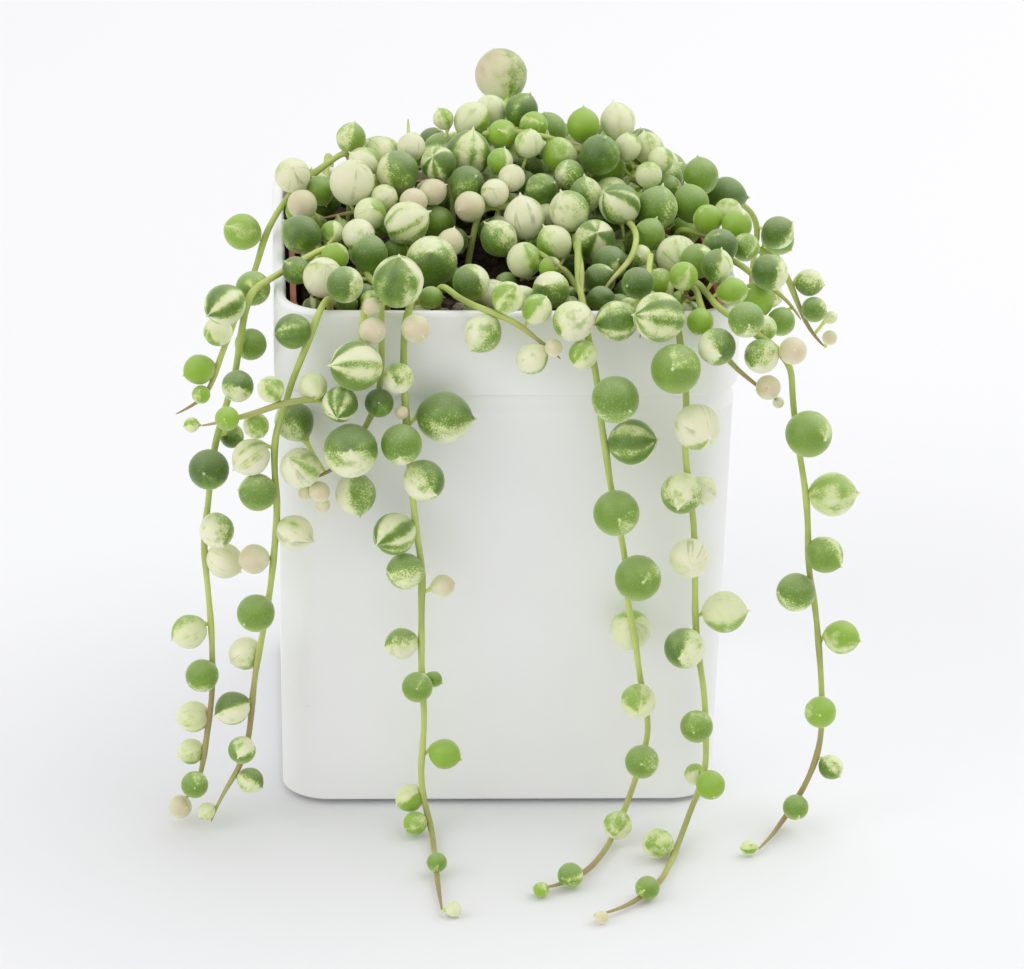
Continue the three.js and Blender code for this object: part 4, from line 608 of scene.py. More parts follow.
def short_way(left, at):
    """The order in which a stem passes all of its pearls on the shortest way."""
    best, order = 0, []
    for i, p in enumerate(left):
        length, rest = short_way(left[:i] + left[i + 1:], p)
        if at:
            length += distance(at.at, p.at)
        if i == 0 or length < best:
            best, order = length, [p] + rest
    return best, order


def crown_plan(pearls):
    """The pearls in their order along the stem, and where the stem stands."""
    order = short_way(pearls, None)[1]
    first, last = order[0].at, order[-1].at
    if last[0] ** 2 + last[1] ** 2 < first[0] ** 2 + first[1] ** 2:
        order.reverse()
    return list(order[0].at[:2]), order


def crown_stem(root, name, order, read):
    """A crown stem passes its pearls, each with its stalk to the low middle of the group."""
    middle = [0, 0, -CROWN_DROP]
    for p in order:
        for k in range(3):
            middle[k] += p.at[k] / len(order)
    route = []
    for p in order:
        p.reach = p.radius + STEM + STALK
        x, y, z = between(p.at, middle, p.reach / distance(p.at, middle))
        route.append((x, y, max(z, SOIL_TOP + COLLAR + STEM)))
    stem = rooted(root, route)
    for p, point in zip(order, route):
        p.joint = nearest(stem, lambda at: distance(at, point))
    return Strand(name, stem, order, read)


def hidden_trail(root, name, place, side, length, draw):
    """A trail by rule: over the rim, down past the wall and out along the table."""
    turn = {"back": (1, 0, 0, 1), "right": (0, 1, 1, 0)}[side]

    def put(s, out, z):
        return (turn[0] * s + turn[2] * out, turn[1] * s + turn[3] * out, z)

    points = [put(place, RIM_HALF - WALL, POT_HEIGHT + RIM_RISE)]
    s = place
    out = RIM_HALF + HANG
    z = POT_HEIGHT - RIM_RISE
    for _ in range(RUN, length, RUN):
        s += (draw() - 0.5) * SWAY
        out = RIM_HALF + HANG + draw() * HANG_SPREAD if z > STEM else out + RUN
        points.append(put(s, out, z))
        z = z - RUN if z > RUN else STEM
    stem = rooted(root, points)
    pearls = []
    for i in range(TRAIL_FIRST, len(stem)):
        part = i / len(stem)
        due = len(pearls) * TRAIL_SPACING * (1 - TRAIL_CROWDING * part)
        if (i - TRAIL_FIRST) * STEM_STEP < due:
            continue
        even = 1 - TRAIL_UNEVEN + TRAIL_UNEVEN * draw()
        radius = TRAIL_RADIUS[0] + TRAIL_RADIUS[1] * math.sqrt(1 - part) * even
        reach = radius + STEM + STALK
        swing = (len(pearls) * TRAIL_TURN % TRAIL_SIDES) / 4 - TRAIL_SWING
        size = math.sqrt(1 + swing * swing + TRAIL_DROP * TRAIL_DROP)
        x, y, z = stem[i]
        pearls.append(Pearl((x + (turn[2] + swing * turn[0]) / size * reach,
                             y + (turn[3] + swing * turn[1]) / size * reach,
                             z - TRAIL_DROP / size * reach), radius, i, reach))
    return Strand(name, stem, pearls, False)


def read_crown(readings):
    pearls = []
    for across, up, size, tone, *own in readings:
        depth = own[0] if own else mound_depth(across, up)
        pearls.append(Pearl(slide(across, up, depth), size / 2 * scale_at(depth), tone=tone))
    return pearls


def crest_at(across):
    """How high the read crown reaches at a place across."""
    i = 0
    while i < len(CREST) - 2 and CREST[i + 1][0] < across:
        i += 1
    (a, low), (b, high) = CREST[i:i + 2]
    return low + (high - low) * (clamp(across, a, b) - a) / (b - a)


def drawn_crown(place, draw):
    pearls = []
    for _ in range(REAR_PEARLS):
        x = place[0] + (draw() - 0.5) * REAR_SPREAD[0]
        y = place[1] + (draw() - REAR_AHEAD) * REAR_SPREAD[1]
        z = mound_height(x, y) - draw() * REAR_SINK
        radius = REAR_RADIUS[0] + draw() * REAR_RADIUS[1]
        across, _, k = sighted((x, y, z))
        most = VIEW[2] + (crest_at(across) - VIEW[2]) * k - radius
        pearls.append(Pearl((x, y, max(min(z, most), SOIL_TOP + COLLAR + radius)), radius))
    return pearls


def spread_roots(roots):
    """Roots stand at least a spacing apart and clear of the nursery pot's wall."""
    for _ in range(ROOT_ROUNDS):
        for i, a in enumerate(roots):
            for b in roots[i + 1:]:
                off = (b[0] - a[0], b[1] - a[1])
                gap = math.sqrt(off[0] * off[0] + off[1] * off[1]) + TINY
                if gap >= ROOT_SPACING:
                    continue
                push = (ROOT_SPACING - gap) / 2 / gap
                for k in range(2):
                    a[k] -= off[k] * push
                    b[k] += off[k] * push
        for root in roots:
            root[:] = [clamp(v, -ROOT_LIMIT, ROOT_LIMIT) for v in root]


def plan():
    """Every strand in its first position."""
    draw = drawer(HIDDEN_SEED)
    roots, jobs = [], []
    for name, (route, readings) in TRAILS.items():
        start = slide(*route[0])
        roots.append([start[0], start[1] + STEM_STEP])
        jobs.append((read_trail, name, route, readings))
    crowns = [(name, read_crown(readings), True) for name, readings in CROWN.items()]
    for n, place in enumerate(HIDDEN_CROWN):
        crowns.append(("crown_rear_%d" % (n + 1), drawn_crown(place, draw), False))
    for name, pearls, read in crowns:
        root, order = crown_plan(pearls)
        roots.append(root)
        jobs.append((crown_stem, name, order, read))
    for name, (place, side, length) in HIDDEN_TRAILS.items():
        roots.append([place, TRAIL_ROOT] if side == "back" else [TRAIL_ROOT, place])
        jobs.append((hidden_trail, name, place, side, length, draw))
    spread_roots(roots)
    return [make(root, *facts) for root, (make, *facts) in zip(roots, jobs)]


class Ball:
    """A stem point or a pearl while the strands settle."""

    def __init__(self, at, size, gap, strand, stem=-1, joint=-1):
        self.at, self.home = list(at), tuple(at)
        self.size, self.gap, self.strand = size, gap, strand
        self.stem, self.joint = stem, joint
        self.fixed = 0 <= stem < 2


class Space:
    """Finds the balls near a point, through a grid of cells."""

    def __init__(self):
        self.cells = {}

    def cell(self, at):
        return tuple(math.floor(v / CELL) for v in at)

    def add(self, at, *facts):
        self.cells.setdefault(self.cell(at), []).append((at, *facts))

    def near(self, at):
        i, j, k = self.cell(at)
        for di, dj, dk in AROUND:
            yield from self.cells.get((i + di, j + dj, k + dk), ())


def spacing(a, b):
    """The least distance between two balls, or 0 where they may meet."""
    if a.fixed and b.fixed:
        return 0
    if a.strand is not b.strand:
        return a.size + b.size + a.gap + b.gap
    if a.stem >= 0 and b.stem >= 0:
        return 0
    stem, pearl = (a, b) if a.stem >= 0 else (b, a)
    if stem.stem >= 0 and abs(stem.stem - pearl.joint) <= 2:
        return 0
    return a.size + b.size


def near_pairs(balls):
    """Pairs of balls that are close enough to meet soon."""
    space = Space()
    for n, ball in enumerate(balls):
        space.add(ball.at, n, ball)
    pairs = []
    for n, ball in enumerate(balls):
        for at, m, other in space.near(ball.at):
            least = spacing(ball, other) if m > n else 0
            if least > 0 and distance(ball.at, at) < least + NEAR:
                pairs.append((ball, other, least))
    return pairs


def hold_apart(a, b, length, share):
    """Moves two balls along the line between them until they are a length apart."""
    gap = distance(a.at, b.at) + TINY
    move = (length - gap) / gap * share
    wa, wb = 1 - a.fixed, 1 - b.fixed
    if wa + wb == 0:
        return
    for k in range(3):
        step = (b.at[k] - a.at[k]) * move
        a.at[k] -= step * wa / (wa + wb)
        b.at[k] += step * wb / (wa + wb)


def keep_out(ball):
    """Keeps a ball out of the table, the pots' walls and the soil."""
    at = ball.at
    at[2] = max(at[2], ball.size * SMALL_SWELL + TABLE_GAP)
    room = ball.size + ball.gap + POT_GAP
    gap, *outward = from_square(at[0], at[1])
    inner = -WALL - SEAT_GAP * 2 - LINER_WALL
    if gap < inner:
        at[2] = max(at[2], SOIL_TOP + COLLAR + ball.size)
    over = gap if gap > 0 else min(gap - inner, 0)
    above = at[2] - POT_HEIGHT
    if above > 0:
        far = math.sqrt(over * over + above * above)
        if far < room:
            push = (room - far) / (far + TINY)
            at[2] += above * push
            for k in range(2):
                at[k] += outward[k] * over * push
        return
    outside = gap > inner / 2
    deep = max(room - gap if outside else room + gap - inner, 0)
    for k in range(2):
        at[k] += outward[k] * (deep if outside else -deep)


def pull_home(ball):
    """Draws a ball to its line of sight, or to its first place."""
    share = SIGHT_PULL if ball.strand.read else HOME_PULL
    x, y, z = ball.home
    if ball.strand.read:
        depth = (ball.at[1] - VIEW[1]) / (y - VIEW[1])
        x = VIEW[0] + (x - VIEW[0]) * depth
        z = VIEW[2] + (z - VIEW[2]) * depth
    ball.at[0] += (x - ball.at[0]) * share
    ball.at[2] += (z - ball.at[2]) * share
    ball.at[1] += (y - ball.at[1]) * HOME_PULL


def settle(strands):
    """Stems keep their length and bend, pearls stay on stalks, and nothing runs into another."""
    balls, links, bends, lines = [], [], [], []
    for strand in strands:
        line = [Ball(p, STEM, STEM_GAP, strand, stem=i) for i, p in enumerate(strand.stem)]
        leaves = [Ball(p.at, p.radius, PEARL_GAP, strand, joint=p.joint)
                  for p in strand.pearls]
        links += [(a, b, distance(a.at, b.at)) for a, b in zip(line, line[1:])]
        for a, ball, b in zip(line, line[1:], line[2:]):
            if not ball.fixed:
                middle = between(a.at, b.at, 0.5)
                bends.append((a, ball, b, [p - q for p, q in zip(ball.at, middle)]))
        links += [(line[p.joint], leaf, p.reach) for p, leaf in zip(strand.pearls, leaves)]
        balls += line + leaves
        lines.append((line, leaves))
    free = [ball for ball in balls if not ball.fixed]
    for round_number in range(GUIDED_ROUNDS + FREE_ROUNDS):
        if round_number % PAIR_ROUNDS == 0:
            pairs = near_pairs(balls)
        if round_number < GUIDED_ROUNDS:
            for ball in free:
                pull_home(ball)
        for a, ball, b, bend in bends:
            for k, middle in enumerate(between(a.at, b.at, 0.5)):
                ball.at[k] += (middle + bend[k] - ball.at[k]) * BEND_PULL
        for a, b, length in links:
            hold_apart(a, b, length, LINK_PULL)
        for a, b, least in pairs:
            if distance(a.at, b.at) < least:
                hold_apart(a, b, least, 1)
        for ball in free:
            keep_out(ball)
    for strand, (line, leaves) in zip(strands, lines):
        strand.stem = [tuple(ball.at) for ball in line]
        for pearl, ball in zip(strand.pearls, leaves):
            pearl.at = tuple(ball.at)


def hides_reading(at, radius, readings):
    """Whether a pearl would stand before one that was read."""
    across, up, k = sighted(at)
    return any((across - a) ** 2 + (up - u) ** 2 < (radius / k + r * SIGHT_SHARE) ** 2
               for a, u, r, depth in readings if at[1] <= depth + 1)


def filled_space(strands):
    space = Space()
    for strand in strands:
        for i, point in enumerate(strand.stem):
            space.add(point, STEM, (strand, i) if i > 1 else None)
        for pearl in strand.pearls:
            space.add(pearl.at, pearl.radius, None)
    return space


def free_joint(space, at, radius):
    """The joint nearest to a place that has room for a pearl, or none."""
    joint, least = None, radius + FILL_REACH
    for other, size, place in space.near(at):
        apart = distance(at, other)
        if apart < radius + size - FILL_CLEAR:
            return None
        if place and apart < least:
            joint, least = place, apart
    return joint


def hang(found, space, at, radius, joint, tone):
    """Adds a pearl to those found for the joint's strand."""
    space.add(at, radius, None)
    strand, i = joint
    pearl = Pearl(at, radius, i, distance(at, strand.stem[i]), tone)
    found.setdefault(strand.name, []).append(pearl)


def drawn_tone(draw):
    return DRAWN_TONES[int(draw() * len(DRAWN_TONES))]


def fill_crown(strands, space):
    """Pearls lie in the gaps of the crown, each on a stalk to a stem close by."""
    draw = drawer(FILL_SEED)
    readings = []
    for pearl in (pearl for strand in strands if strand.read for pearl in strand.pearls):
        across, up, k = sighted(pearl.at)
        readings.append((across, up, pearl.radius / k, pearl.at[1]))
    found = {}
    for across, up, wide, depth, tone in CORNER_PEARLS:
        at = slide(across, up, depth)
        hang(found, space, at, wide / 2, free_joint(space, at, wide / 2), tone)
    for _ in range(FILL_TRIES):
        x, y = ((2 * draw() - 1) * FILL_HALF for _ in range(2))
        low = SOIL_TOP + FILL_LOW
        top = mound_height(x, y) - (FILL_SHALLOW if y > FILL_BEHIND else FILL_DEEP)
        z = low + (top - low) * math.sqrt(draw())
        radius = FILL_RADIUS[0] + FILL_RADIUS[1] * draw()
        tone = drawn_tone(draw)
        at = (x, y, z)
        gap = from_square(x, y)[0]
        across, up, k = sighted(at)
        if (z < POT_HEIGHT + radius and gap > -WALL - LINER_WALL - radius - 1
                or up + radius / k > crest_at(across) - FILL_UNDER
                or any((across - a) ** 2 + (up - u) ** 2 < r * r for a, u, r in GAPS)):
            continue
        joint = free_joint(space, at, radius)
        if joint and not hides_reading(at, radius, readings):
            hang(found, space, at, radius, joint, tone)
    return found


def thicken(strand, space):
    """A trail by rule gets more pearls between those of its solid."""
    draw = drawer(FILL_SEED + len(strand.stem))
    joints = [p.joint for p in strand.pearls]
    made = []
    for i in range(TRAIL_FIRST, len(strand.stem) - 1):
        if min(abs(i - j) for j in joints) < EXTRA_EVERY:
            continue
        radius = EXTRA_RADIUS[0] + EXTRA_RADIUS[1] * draw()
        reach = radius + STEM + STALK
        start = draw()
        x, y, z = strand.stem[i]
        for turn in range(EXTRA_TURNS):
            angle = (start + turn / EXTRA_TURNS) * math.tau
            at = (x + math.cos(angle) * reach, y + math.sin(angle) * reach,
                  z - radius * EXTRA_SINK)
            wall = from_square(at[0], at[1])[0]
            if at[2] < radius * EXTRA_ROOM or wall < radius:
                continue
            if all(distance(at, o) > radius + s - FILL_CLEAR for o, s, _ in space.near(at)):
                made.append(Pearl(at, radius, i, reach, drawn_tone(draw)))
                space.add(at, radius, None)
                joints.append(i)
                break
    return made


def draw_out(bm, edges, notes):
    """Extrudes a loop, and hands each new vertex the note of the one it was drawn from."""
    made = bmesh.ops.extrude_edge_only(bm, edges=edges)["geom"]
    fresh = {}
    for vert in made:
        if isinstance(vert, bmesh.types.BMVert):
            for edge in vert.link_edges:
                back = edge.other_vert(vert)
                if back in notes:
                    fresh[vert] = notes[back]
    loop = [edge for edge in made if isinstance(edge, bmesh.types.BMEdge)
            and all(vert in fresh for vert in edge.verts)]
    return loop, fresh


def paint(bm, first=0, material=0, smooth=True):
    """Gives the faces from a number on their material and their shading."""
    bm.faces.ensure_lookup_table()
    for face in bm.faces[first:]:
        face.smooth = smooth
        face.material_index = material


def close_body(bm, edges):
    """Closes a body's last loop, turns its faces outwards, and makes it smooth and in metres."""
    bmesh.ops.contextual_create(bm, geom=edges)
    bmesh.ops.recalc_face_normals(bm, faces=bm.faces)
    bmesh.ops.scale(bm, vec=(MM, MM, MM), verts=bm.verts)
    paint(bm)
    return bm


def to_mesh(bm, name):
    mesh = bpy.data.meshes.new(name)
    bm.to_mesh(mesh)
    bm.free()
    return mesh


def to_scene(name, data):
    made = bpy.data.objects.new(name, data)
    bpy.context.scene.collection.objects.link(made)
    return made


def to_piece(bm, name, materials, levels=0):
    """Makes the mesh one piece that rides on the part."""
    piece = to_scene(name, to_mesh(bm, name))
    for material in materials:
        piece.data.materials.append(material)
    if levels:
        smooth = piece.modifiers.new("smooth", "SUBSURF")
        smooth.levels = smooth.render_levels = levels
    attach(piece, "root")
    return piece


def pearl_form():
    """One pearl on its stalk, spun from its outline."""
    bm = bmesh.new()
    points = [bm.verts.new((r, 0, z)) for r, z in PEARL_OUTLINE]
    edges = [bm.edges.new(pair) for pair in zip(points, points[1:])]
    bmesh.ops.spin(bm, geom=points + edges, cent=(0, 0, 0), axis=(0, 0, 1), dvec=(0, 0, 0),
                   angle=math.tau, steps=PEARL_SIDES, use_merge=True, use_duplicate=False)
    bmesh.ops.remove_doubles(bm, verts=bm.verts, dist=0.001)
    bmesh.ops.recalc_face_normals(bm, faces=bm.faces)
    return to_mesh(bm, "pearl_form")


def marked(bm):
    """The attributes that the plant's materials read."""
    return (bm.verts.layers.float_vector.new("place"), bm.verts.layers.float_color.new("tone"),
            bm.verts.layers.float_color.new("marks"))


def set_vert(vert, spot, layers, values):
    """Places a vertex, no lower than the table, and writes its attributes."""
    vert.co = Vector((spot.x, spot.y, max(spot.z, 0))) * MM
    for layer, value in zip(layers, values):
        vert[layer] = value


def turned_to(axis, facing):
    """The rotation that points a form's top along an axis, and its side as near as it can."""
    facing = facing - axis * facing.dot(axis)
    if facing.length < FACING_LEAST:
        facing = axis.orthogonal()
    facing.normalize()
    return Matrix((facing, axis.cross(facing), axis)).transposed()


def add_pearl(bm, form, pearl, joint, seed, layers):
    """A copy of the form with its stalk's foot at the joint and its green to the tone's side."""
    word, side, tip = (pearl.tone.split() + ["", ""])[:3]
    cream, depth, yellow, stripes, speckles, blush = TONES[word]
    centre, foot = Vector(pearl.at), Vector(joint)
    axis = (centre - foot).normalized()
    if tip:
        axis = Vector(SIDES[tip]) + axis * TIP_KEPT
    else:
        lean = Vector((0, -TIP_FORWARD, -TIP_DROOP * (1 - abs(axis.z))))
        axis = axis + lean + noise.random_unit_vector(size=3) * TIP_SWAY
    axis.normalize()
    facing = Vector(SIDES[side]) if side else noise.random_unit_vector(size=3)
    turn = turned_to(axis, facing)
    base = centre - axis * pearl.radius
    stalk_turn = turned_to((base - foot).normalized(), facing)
    first, faces = len(bm.verts), len(bm.faces)
    bm.from_mesh(form)
    bm.verts.ensure_lookup_table()
    for vert in bm.verts[first:]:
        shape = vert.co.copy()
        # How far the vertex faces up: the mask of the painted highlight on top and the painted
        # floor light underneath
        raised = (turn @ shape.normalized()).z
        if shape.z < -1:
            ring = stalk_turn @ Vector((shape.x, shape.y, 0))
            spot = base.lerp(foot, -1 - shape.z) + ring * STALK_RADIUS
        else:
            spot = centre + turn @ shape * pearl.radius
        set_vert(vert, spot, layers, (shape, (cream, depth, yellow, seed),
                                      (stripes, speckles, blush, (1 + raised) / 2)))
    paint(bm, faces)


def add_stem(bm, line, swollen, seed, layers):
    """A tube drawn along the line ring by ring, thicker where stalks leave it."""
    points = [Vector(p) for p in line]
    last = len(points) - 1
    side = None
    faces = len(bm.faces)
    for i, point in enumerate(points):
        along = (points[min(i + 1, last)] - points[max(i - 1, 0)]).normalized()
        side = side or along.orthogonal()
        side = (side - along * side.dot(along)).normalized()
        other = along.cross(side)
        size = STEM_DRAWN * (NODE_SWELL if i in swollen else 1)
        size *= 1 + STEM_TAPER * (0.5 - i / last)
        if last - i < len(TIP_SHARES):
            size *= TIP_SHARES[last - i]
        if i:
            edges, turns = draw_out(bm, edges, turns)
        else:
            made = bmesh.ops.create_circle(bm, segments=STEM_SIDES, radius=1, cap_ends=False)
            turns = {vert: math.atan2(vert.co.y, vert.co.x) for vert in made["verts"]}
            edges = list(dict.fromkeys(edge for vert in turns for edge in vert.link_edges))
        for vert, angle in turns.items():
            x, y = math.cos(angle), math.sin(angle)
            set_vert(vert, point + (side * x + other * y) * size, layers,
                     ((x, y, i * STEM_STEP), (i / last, seed, 0, 1), (0, 0, 0, 1)))
        if i in (0, last):
            bmesh.ops.contextual_create(bm, geom=edges)
    paint(bm, faces, 1)


def crossing_line(points):
    """A stem over the crown, from its readings and how far it lies before the mound."""
    route = [slide(a, u, mound_depth(a, u) - ahead) for a, u, ahead in points]
    return even_points(route)


def add_strand_pearls(bm, strand, pearls, form, draw, layers):
    for pearl in pearls:
        add_pearl(bm, form, pearl, strand.stem[pearl.joint], draw(), layers)


def pot_body():
    """A hollow rounded square: its underside, drawn up outside and down inside by section."""
    bm = bmesh.new()
    bmesh.ops.create_grid(bm, x_segments=1, y_segments=1, size=RIM_HALF)
    bmesh.ops.bevel(bm, geom=bm.verts[:], offset=CORNER, segments=CORNER_SEGMENTS, profile=0.5,
                    affect="VERTICES", offset_type="OFFSET", material=-1)
    notes = {}
    for vert in bm.verts:
        _, nx, ny = from_square(vert.co.x, vert.co.y)
        notes[vert] = (vert.co.copy(), Vector((nx, ny, 0)))
    edges = bm.edges[:]
    for i, (half, height) in enumerate(POT_SECTION):
        if i:
            edges, notes = draw_out(bm, edges, notes)
        for vert, (spot, out) in notes.items():
            vert.co = spot + out * (half - RIM_HALF) + Vector((0, 0, height))
    return close_body(bm, edges)


def reach_to_edge(x, y):
    """How far a ray from the middle through a point goes to the soil's edge, as a share."""
    low, high = 0, 4 * SOIL_HALF / max(abs(x), abs(y), TINY)
    for _ in range(BISECTIONS):
        middle = (low + high) / 2
        inside = from_square(x * middle, y * middle, SOIL_HALF, SOIL_CORNER)[0] < 0
        low, high = (middle, high) if inside else (low, middle)
    return low


def soil_height(x, y):
    at = Vector((x, y, 0)) * MM
    return SOIL_TOP + sum(noise.noise(at * scale) * rise for scale, rise in SOIL_WAVES)


def soil_body():
    """A lumpy top on a rounded square, with its sides drawn down."""
    bm = bmesh.new()
    bmesh.ops.create_grid(bm, x_segments=SOIL_CELLS, y_segments=SOIL_CELLS, size=SOIL_HALF)
    for vert in bm.verts:
        x, y, _ = vert.co
        out = max(abs(x), abs(y)) / SOIL_HALF
        if out > TINY:
            share = reach_to_edge(x, y) * out
            pull = 1 + (share - 1) * out**3
            x, y = x * pull, y * pull
        vert.co = (x, y, soil_height(x, y))
    edges = [edge for edge in bm.edges if edge.is_boundary]
    foot, fresh = draw_out(bm, edges, {vert: None for edge in edges for vert in edge.verts})
    for vert in fresh:
        vert.co.z = SOIL_FOOT
    return close_body(bm, foot)


def add_grit(bm, count):
    """Crumbs of bark and pumice, half sunk in the soil's top."""
    draw = drawer(GRIT_SEED)
    for _ in range(count):
        x, y = ((2 * draw() - 1) * (SOIL_HALF - 2) for _ in range(2))
        size = GRIT_SIZE[0] + (GRIT_SIZE[1] - GRIT_SIZE[0]) * draw() ** 2
        long, flat = 1 + draw(), 0.5 + 0.5 * draw()
        kind = 1 if draw() < BARK_SHARE else 2
        if kind == 1 and draw() < 0.25:
            size, flat = GRIT_LARGE * (0.6 + 0.4 * draw()), 0.3
        faces = len(bm.faces)
        verts = bmesh.ops.create_icosphere(bm, subdivisions=1, radius=size)["verts"]
        for vert in verts:
            vert.co *= 0.8 + 0.4 * draw()
        turn = Matrix.Rotation(draw() * math.tau, 4, "Z") @ Matrix.Rotation(draw() - 0.5, 4, "X")
        shape = Matrix.Diagonal((long, 1, flat, 1))
        place = Matrix.Translation((x, y, soil_height(x, y) + size * flat * 0.3))
        bmesh.ops.transform(bm, matrix=Matrix.Scale(MM, 4) @ place @ turn @ shape, verts=verts)
        paint(bm, faces, kind, False)


class Value:
    """A socket of a material's tree that can be reckoned with."""

    def __init__(self, finish, socket):
        self.finish, self.socket = finish, socket

    def __add__(self, other):
        return self.finish.maths("ADD", self, other)

    def __sub__(self, other):
        return self.finish.maths("SUBTRACT", self, other)

    def __rsub__(self, other):
        return self.finish.maths("SUBTRACT", other, self)

    def __mul__(self, other):
        return self.finish.maths("MULTIPLY", self, other)


class Finish:
    """A procedural material: its tree, its shader and its object coordinates."""

    def __init__(self, name, roughness, **constants):
        self.material = bpy.data.materials.new(name)
        self.material.use_nodes = True
        self.tree = self.material.node_tree
        self.tree.nodes.clear()
        surface = self.add("BsdfPrincipled", {"Roughness": roughness})
        self.shader = surface.socket.node
        for key, value in constants.items():
            self.shader.inputs[key.replace("_", " ").title()].default_value = value
        out = self.tree.nodes.new("ShaderNodeOutputMaterial")
        self.set_inputs(out, {"Surface": surface})
        self.where = self.add("TexCoord", output="Object")

    def set_inputs(self, node, inputs):
        """Joins values to a node's inputs, and sets numbers and colours on them."""
        for key, value in inputs.items():
            if isinstance(value, Value):
                self.tree.links.new(value.socket, node.inputs[key])
            else:
                node.inputs[key].default_value = value

    def add(self, kind, inputs=None, output=0, **settings):
        """The output of a new node."""
        node = self.tree.nodes.new("ShaderNode" + kind)
        for key, value in settings.items():
            setattr(node, key, value)
        self.set_inputs(node, inputs or {})
        return Value(self, node.outputs[output])

    def parts(self, kind, value):
        """The three parts of a colour or a vector."""
        made = self.add("Separate" + kind, {0: value})
        return [Value(self, part) for part in made.socket.node.outputs]

    def maths(self, way, a, b=0.0):
        return self.add("Math", {0: a, 1: b}, operation=way)

    def attribute(self, name, output):
        return self.add("Attribute", output=output, attribute_name=name)

    def noise(self, vector, scale, detail=2.0, **seed):
        inputs = {"Vector": vector, "Scale": scale, "Detail": detail, **seed}
        return self.add("TexNoise", inputs, noise_dimensions="4D" if seed else "3D")

    def ramp(self, value, low, high):
        """Runs smoothly from 0 at the low value to 1 at the high one."""
        inputs = {0: value, 1: low, 2: high}
        return self.add("MapRange", inputs, interpolation_type="SMOOTHSTEP")

    def coats(self, colour, *coats):
        """A colour with others laid over it, each with its share."""
        for share, other in coats:
            a, b = (c if isinstance(c, Value) else (*c, 1.0) for c in (colour, other))
            colour = self.add("Mix", {0: share, 6: a, 7: b}, 2, data_type="RGBA")
        return colour

    def done(self, colour, height=None, strength=0.0, depth=0.0):
        """The material with its colour and its bump."""
        self.set_inputs(self.shader, {"Base Color": colour})
        if height:
            bump = self.add("Bump", {"Height": height, "Strength": strength, "Distance": depth})
            self.set_inputs(self.shader, {"Normal": bump})
        return self.material


def darker(colour, share):
    return tuple(v * share for v in colour)


def pearl_finish(plant):
    """Green and cream in sectors from stalk to tip, with a speckled margin and fine lines."""
    look = Finish("pearl", 0.42, subsurface_weight=0.6, subsurface_scale=0.003,
                  subsurface_radius=(0.8, 1.0, 0.35), sheen_weight=0.5, sheen_roughness=0.4,
                  sheen_tint=(*plant.bloom, 1.0), coat_weight=0.1, coat_roughness=0.35)
    noise_of, ramp = look.noise, look.ramp
    place = look.attribute("place", "Vector")
    cream, depth, yellow = look.parts("Color", look.attribute("tone", "Color"))
    stripes, speckles, blush = look.parts("Color", look.attribute("marks", "Color"))
    # How far the surface faces up: the mask of the painted highlight on top and the painted floor
    # light underneath
    raised = look.attribute("marks", "Alpha")
    seed = look.attribute("tone", "Alpha") * 60.0
    height = look.parts("XYZ", place)[2]
    flat = look.add("VectorMath", {0: place, 1: (1, 1, 0)}, operation="MULTIPLY")
    radial = look.add("VectorMath", {0: flat}, operation="NORMALIZE")
    facing = look.parts("XYZ", radial)[0]
    wobble = noise_of(radial, 1.1, W=height * 0.25 + seed) - 0.5
    sector = noise_of(radial, 1.5, 0.0, W=height * 0.08 + seed)
    cloud = noise_of(place, 1.5, 3.0, W=seed) - 0.5
    speck = noise_of(look.where, 3600.0)
    # The green side's reach, uneven at its edge, or in sectors on a striped pearl
    side = facing * (1.0 - stripes * 0.6) + wobble * 1.5
    side = side + (sector - 0.5) * 4.0 * stripes + cloud * 1.6
    paleness = cream * 2.8 - 1.4 - side
    # Painted floor light on the underside, standing in for the light that the floor sends through
    # the flesh
    glow = ramp(raised, 0.45, 0.1) * 0.5
    green = look.coats(
        plant.light_green,
        (depth, plant.deep_green),
        (yellow, plant.yellow_green),
        (ramp(paleness, -0.9, 0.0) * 0.55, plant.light_green),
        # Painted floor light on the green underside, most on middling greens
        (glow, plant.light_green),
        (glow * (depth * (1.0 - depth) * 2.4), plant.pale_green),
        (ramp(speck, 0.55, 0.68) * speckles * 0.25, plant.bloom))
    # Fine lines on the cream, where the sectors' noise passes one level
    ridge = look.maths("ABSOLUTE", sector - 0.54)
    line = (1.0 - ramp(ridge, 0.004, 0.03)) * ramp(stripes, 0.1, 0.6) * ramp(cloud, -0.1, 0.1)
    pale = look.coats(
        plant.pale_green,
        (ramp(paleness, -0.1, 0.9), plant.cream),
        (yellow * 0.7, plant.pale_green),
        (blush * ramp(cloud * 1.2 + height, -1.6, 1.2), plant.blush),
        (line * 0.6, plant.line_green),
        (ramp(cloud, 0.02, 0.2) * ramp(speckles, 0.1, 0.9) * 0.6, plant.light_green),
        # Painted floor light on the cream underside
        (glow, plant.lit_cream))
    # Cream with a grainy margin, then the waxy bloom on top, partly a painted highlight from above,
    # the tip and the stalk
    colour = look.coats(
        green,
        (ramp((speck - 0.5) * speckles * 2.0 + paleness, -0.32, 0.32), pale),
        # Painted highlight on the pearls' tops, in the bloom's colour
        (ramp(raised, 0.6, 0.95) * (speckles * 0.2 + 0.12), plant.bloom),
        (ramp(height, 1.12, 1.24) * 0.6, plant.cream),
        (ramp(height, -1.0, -1.1), plant.young_stem))
    return look.done(colour, speck, 0.12, 0.0001)


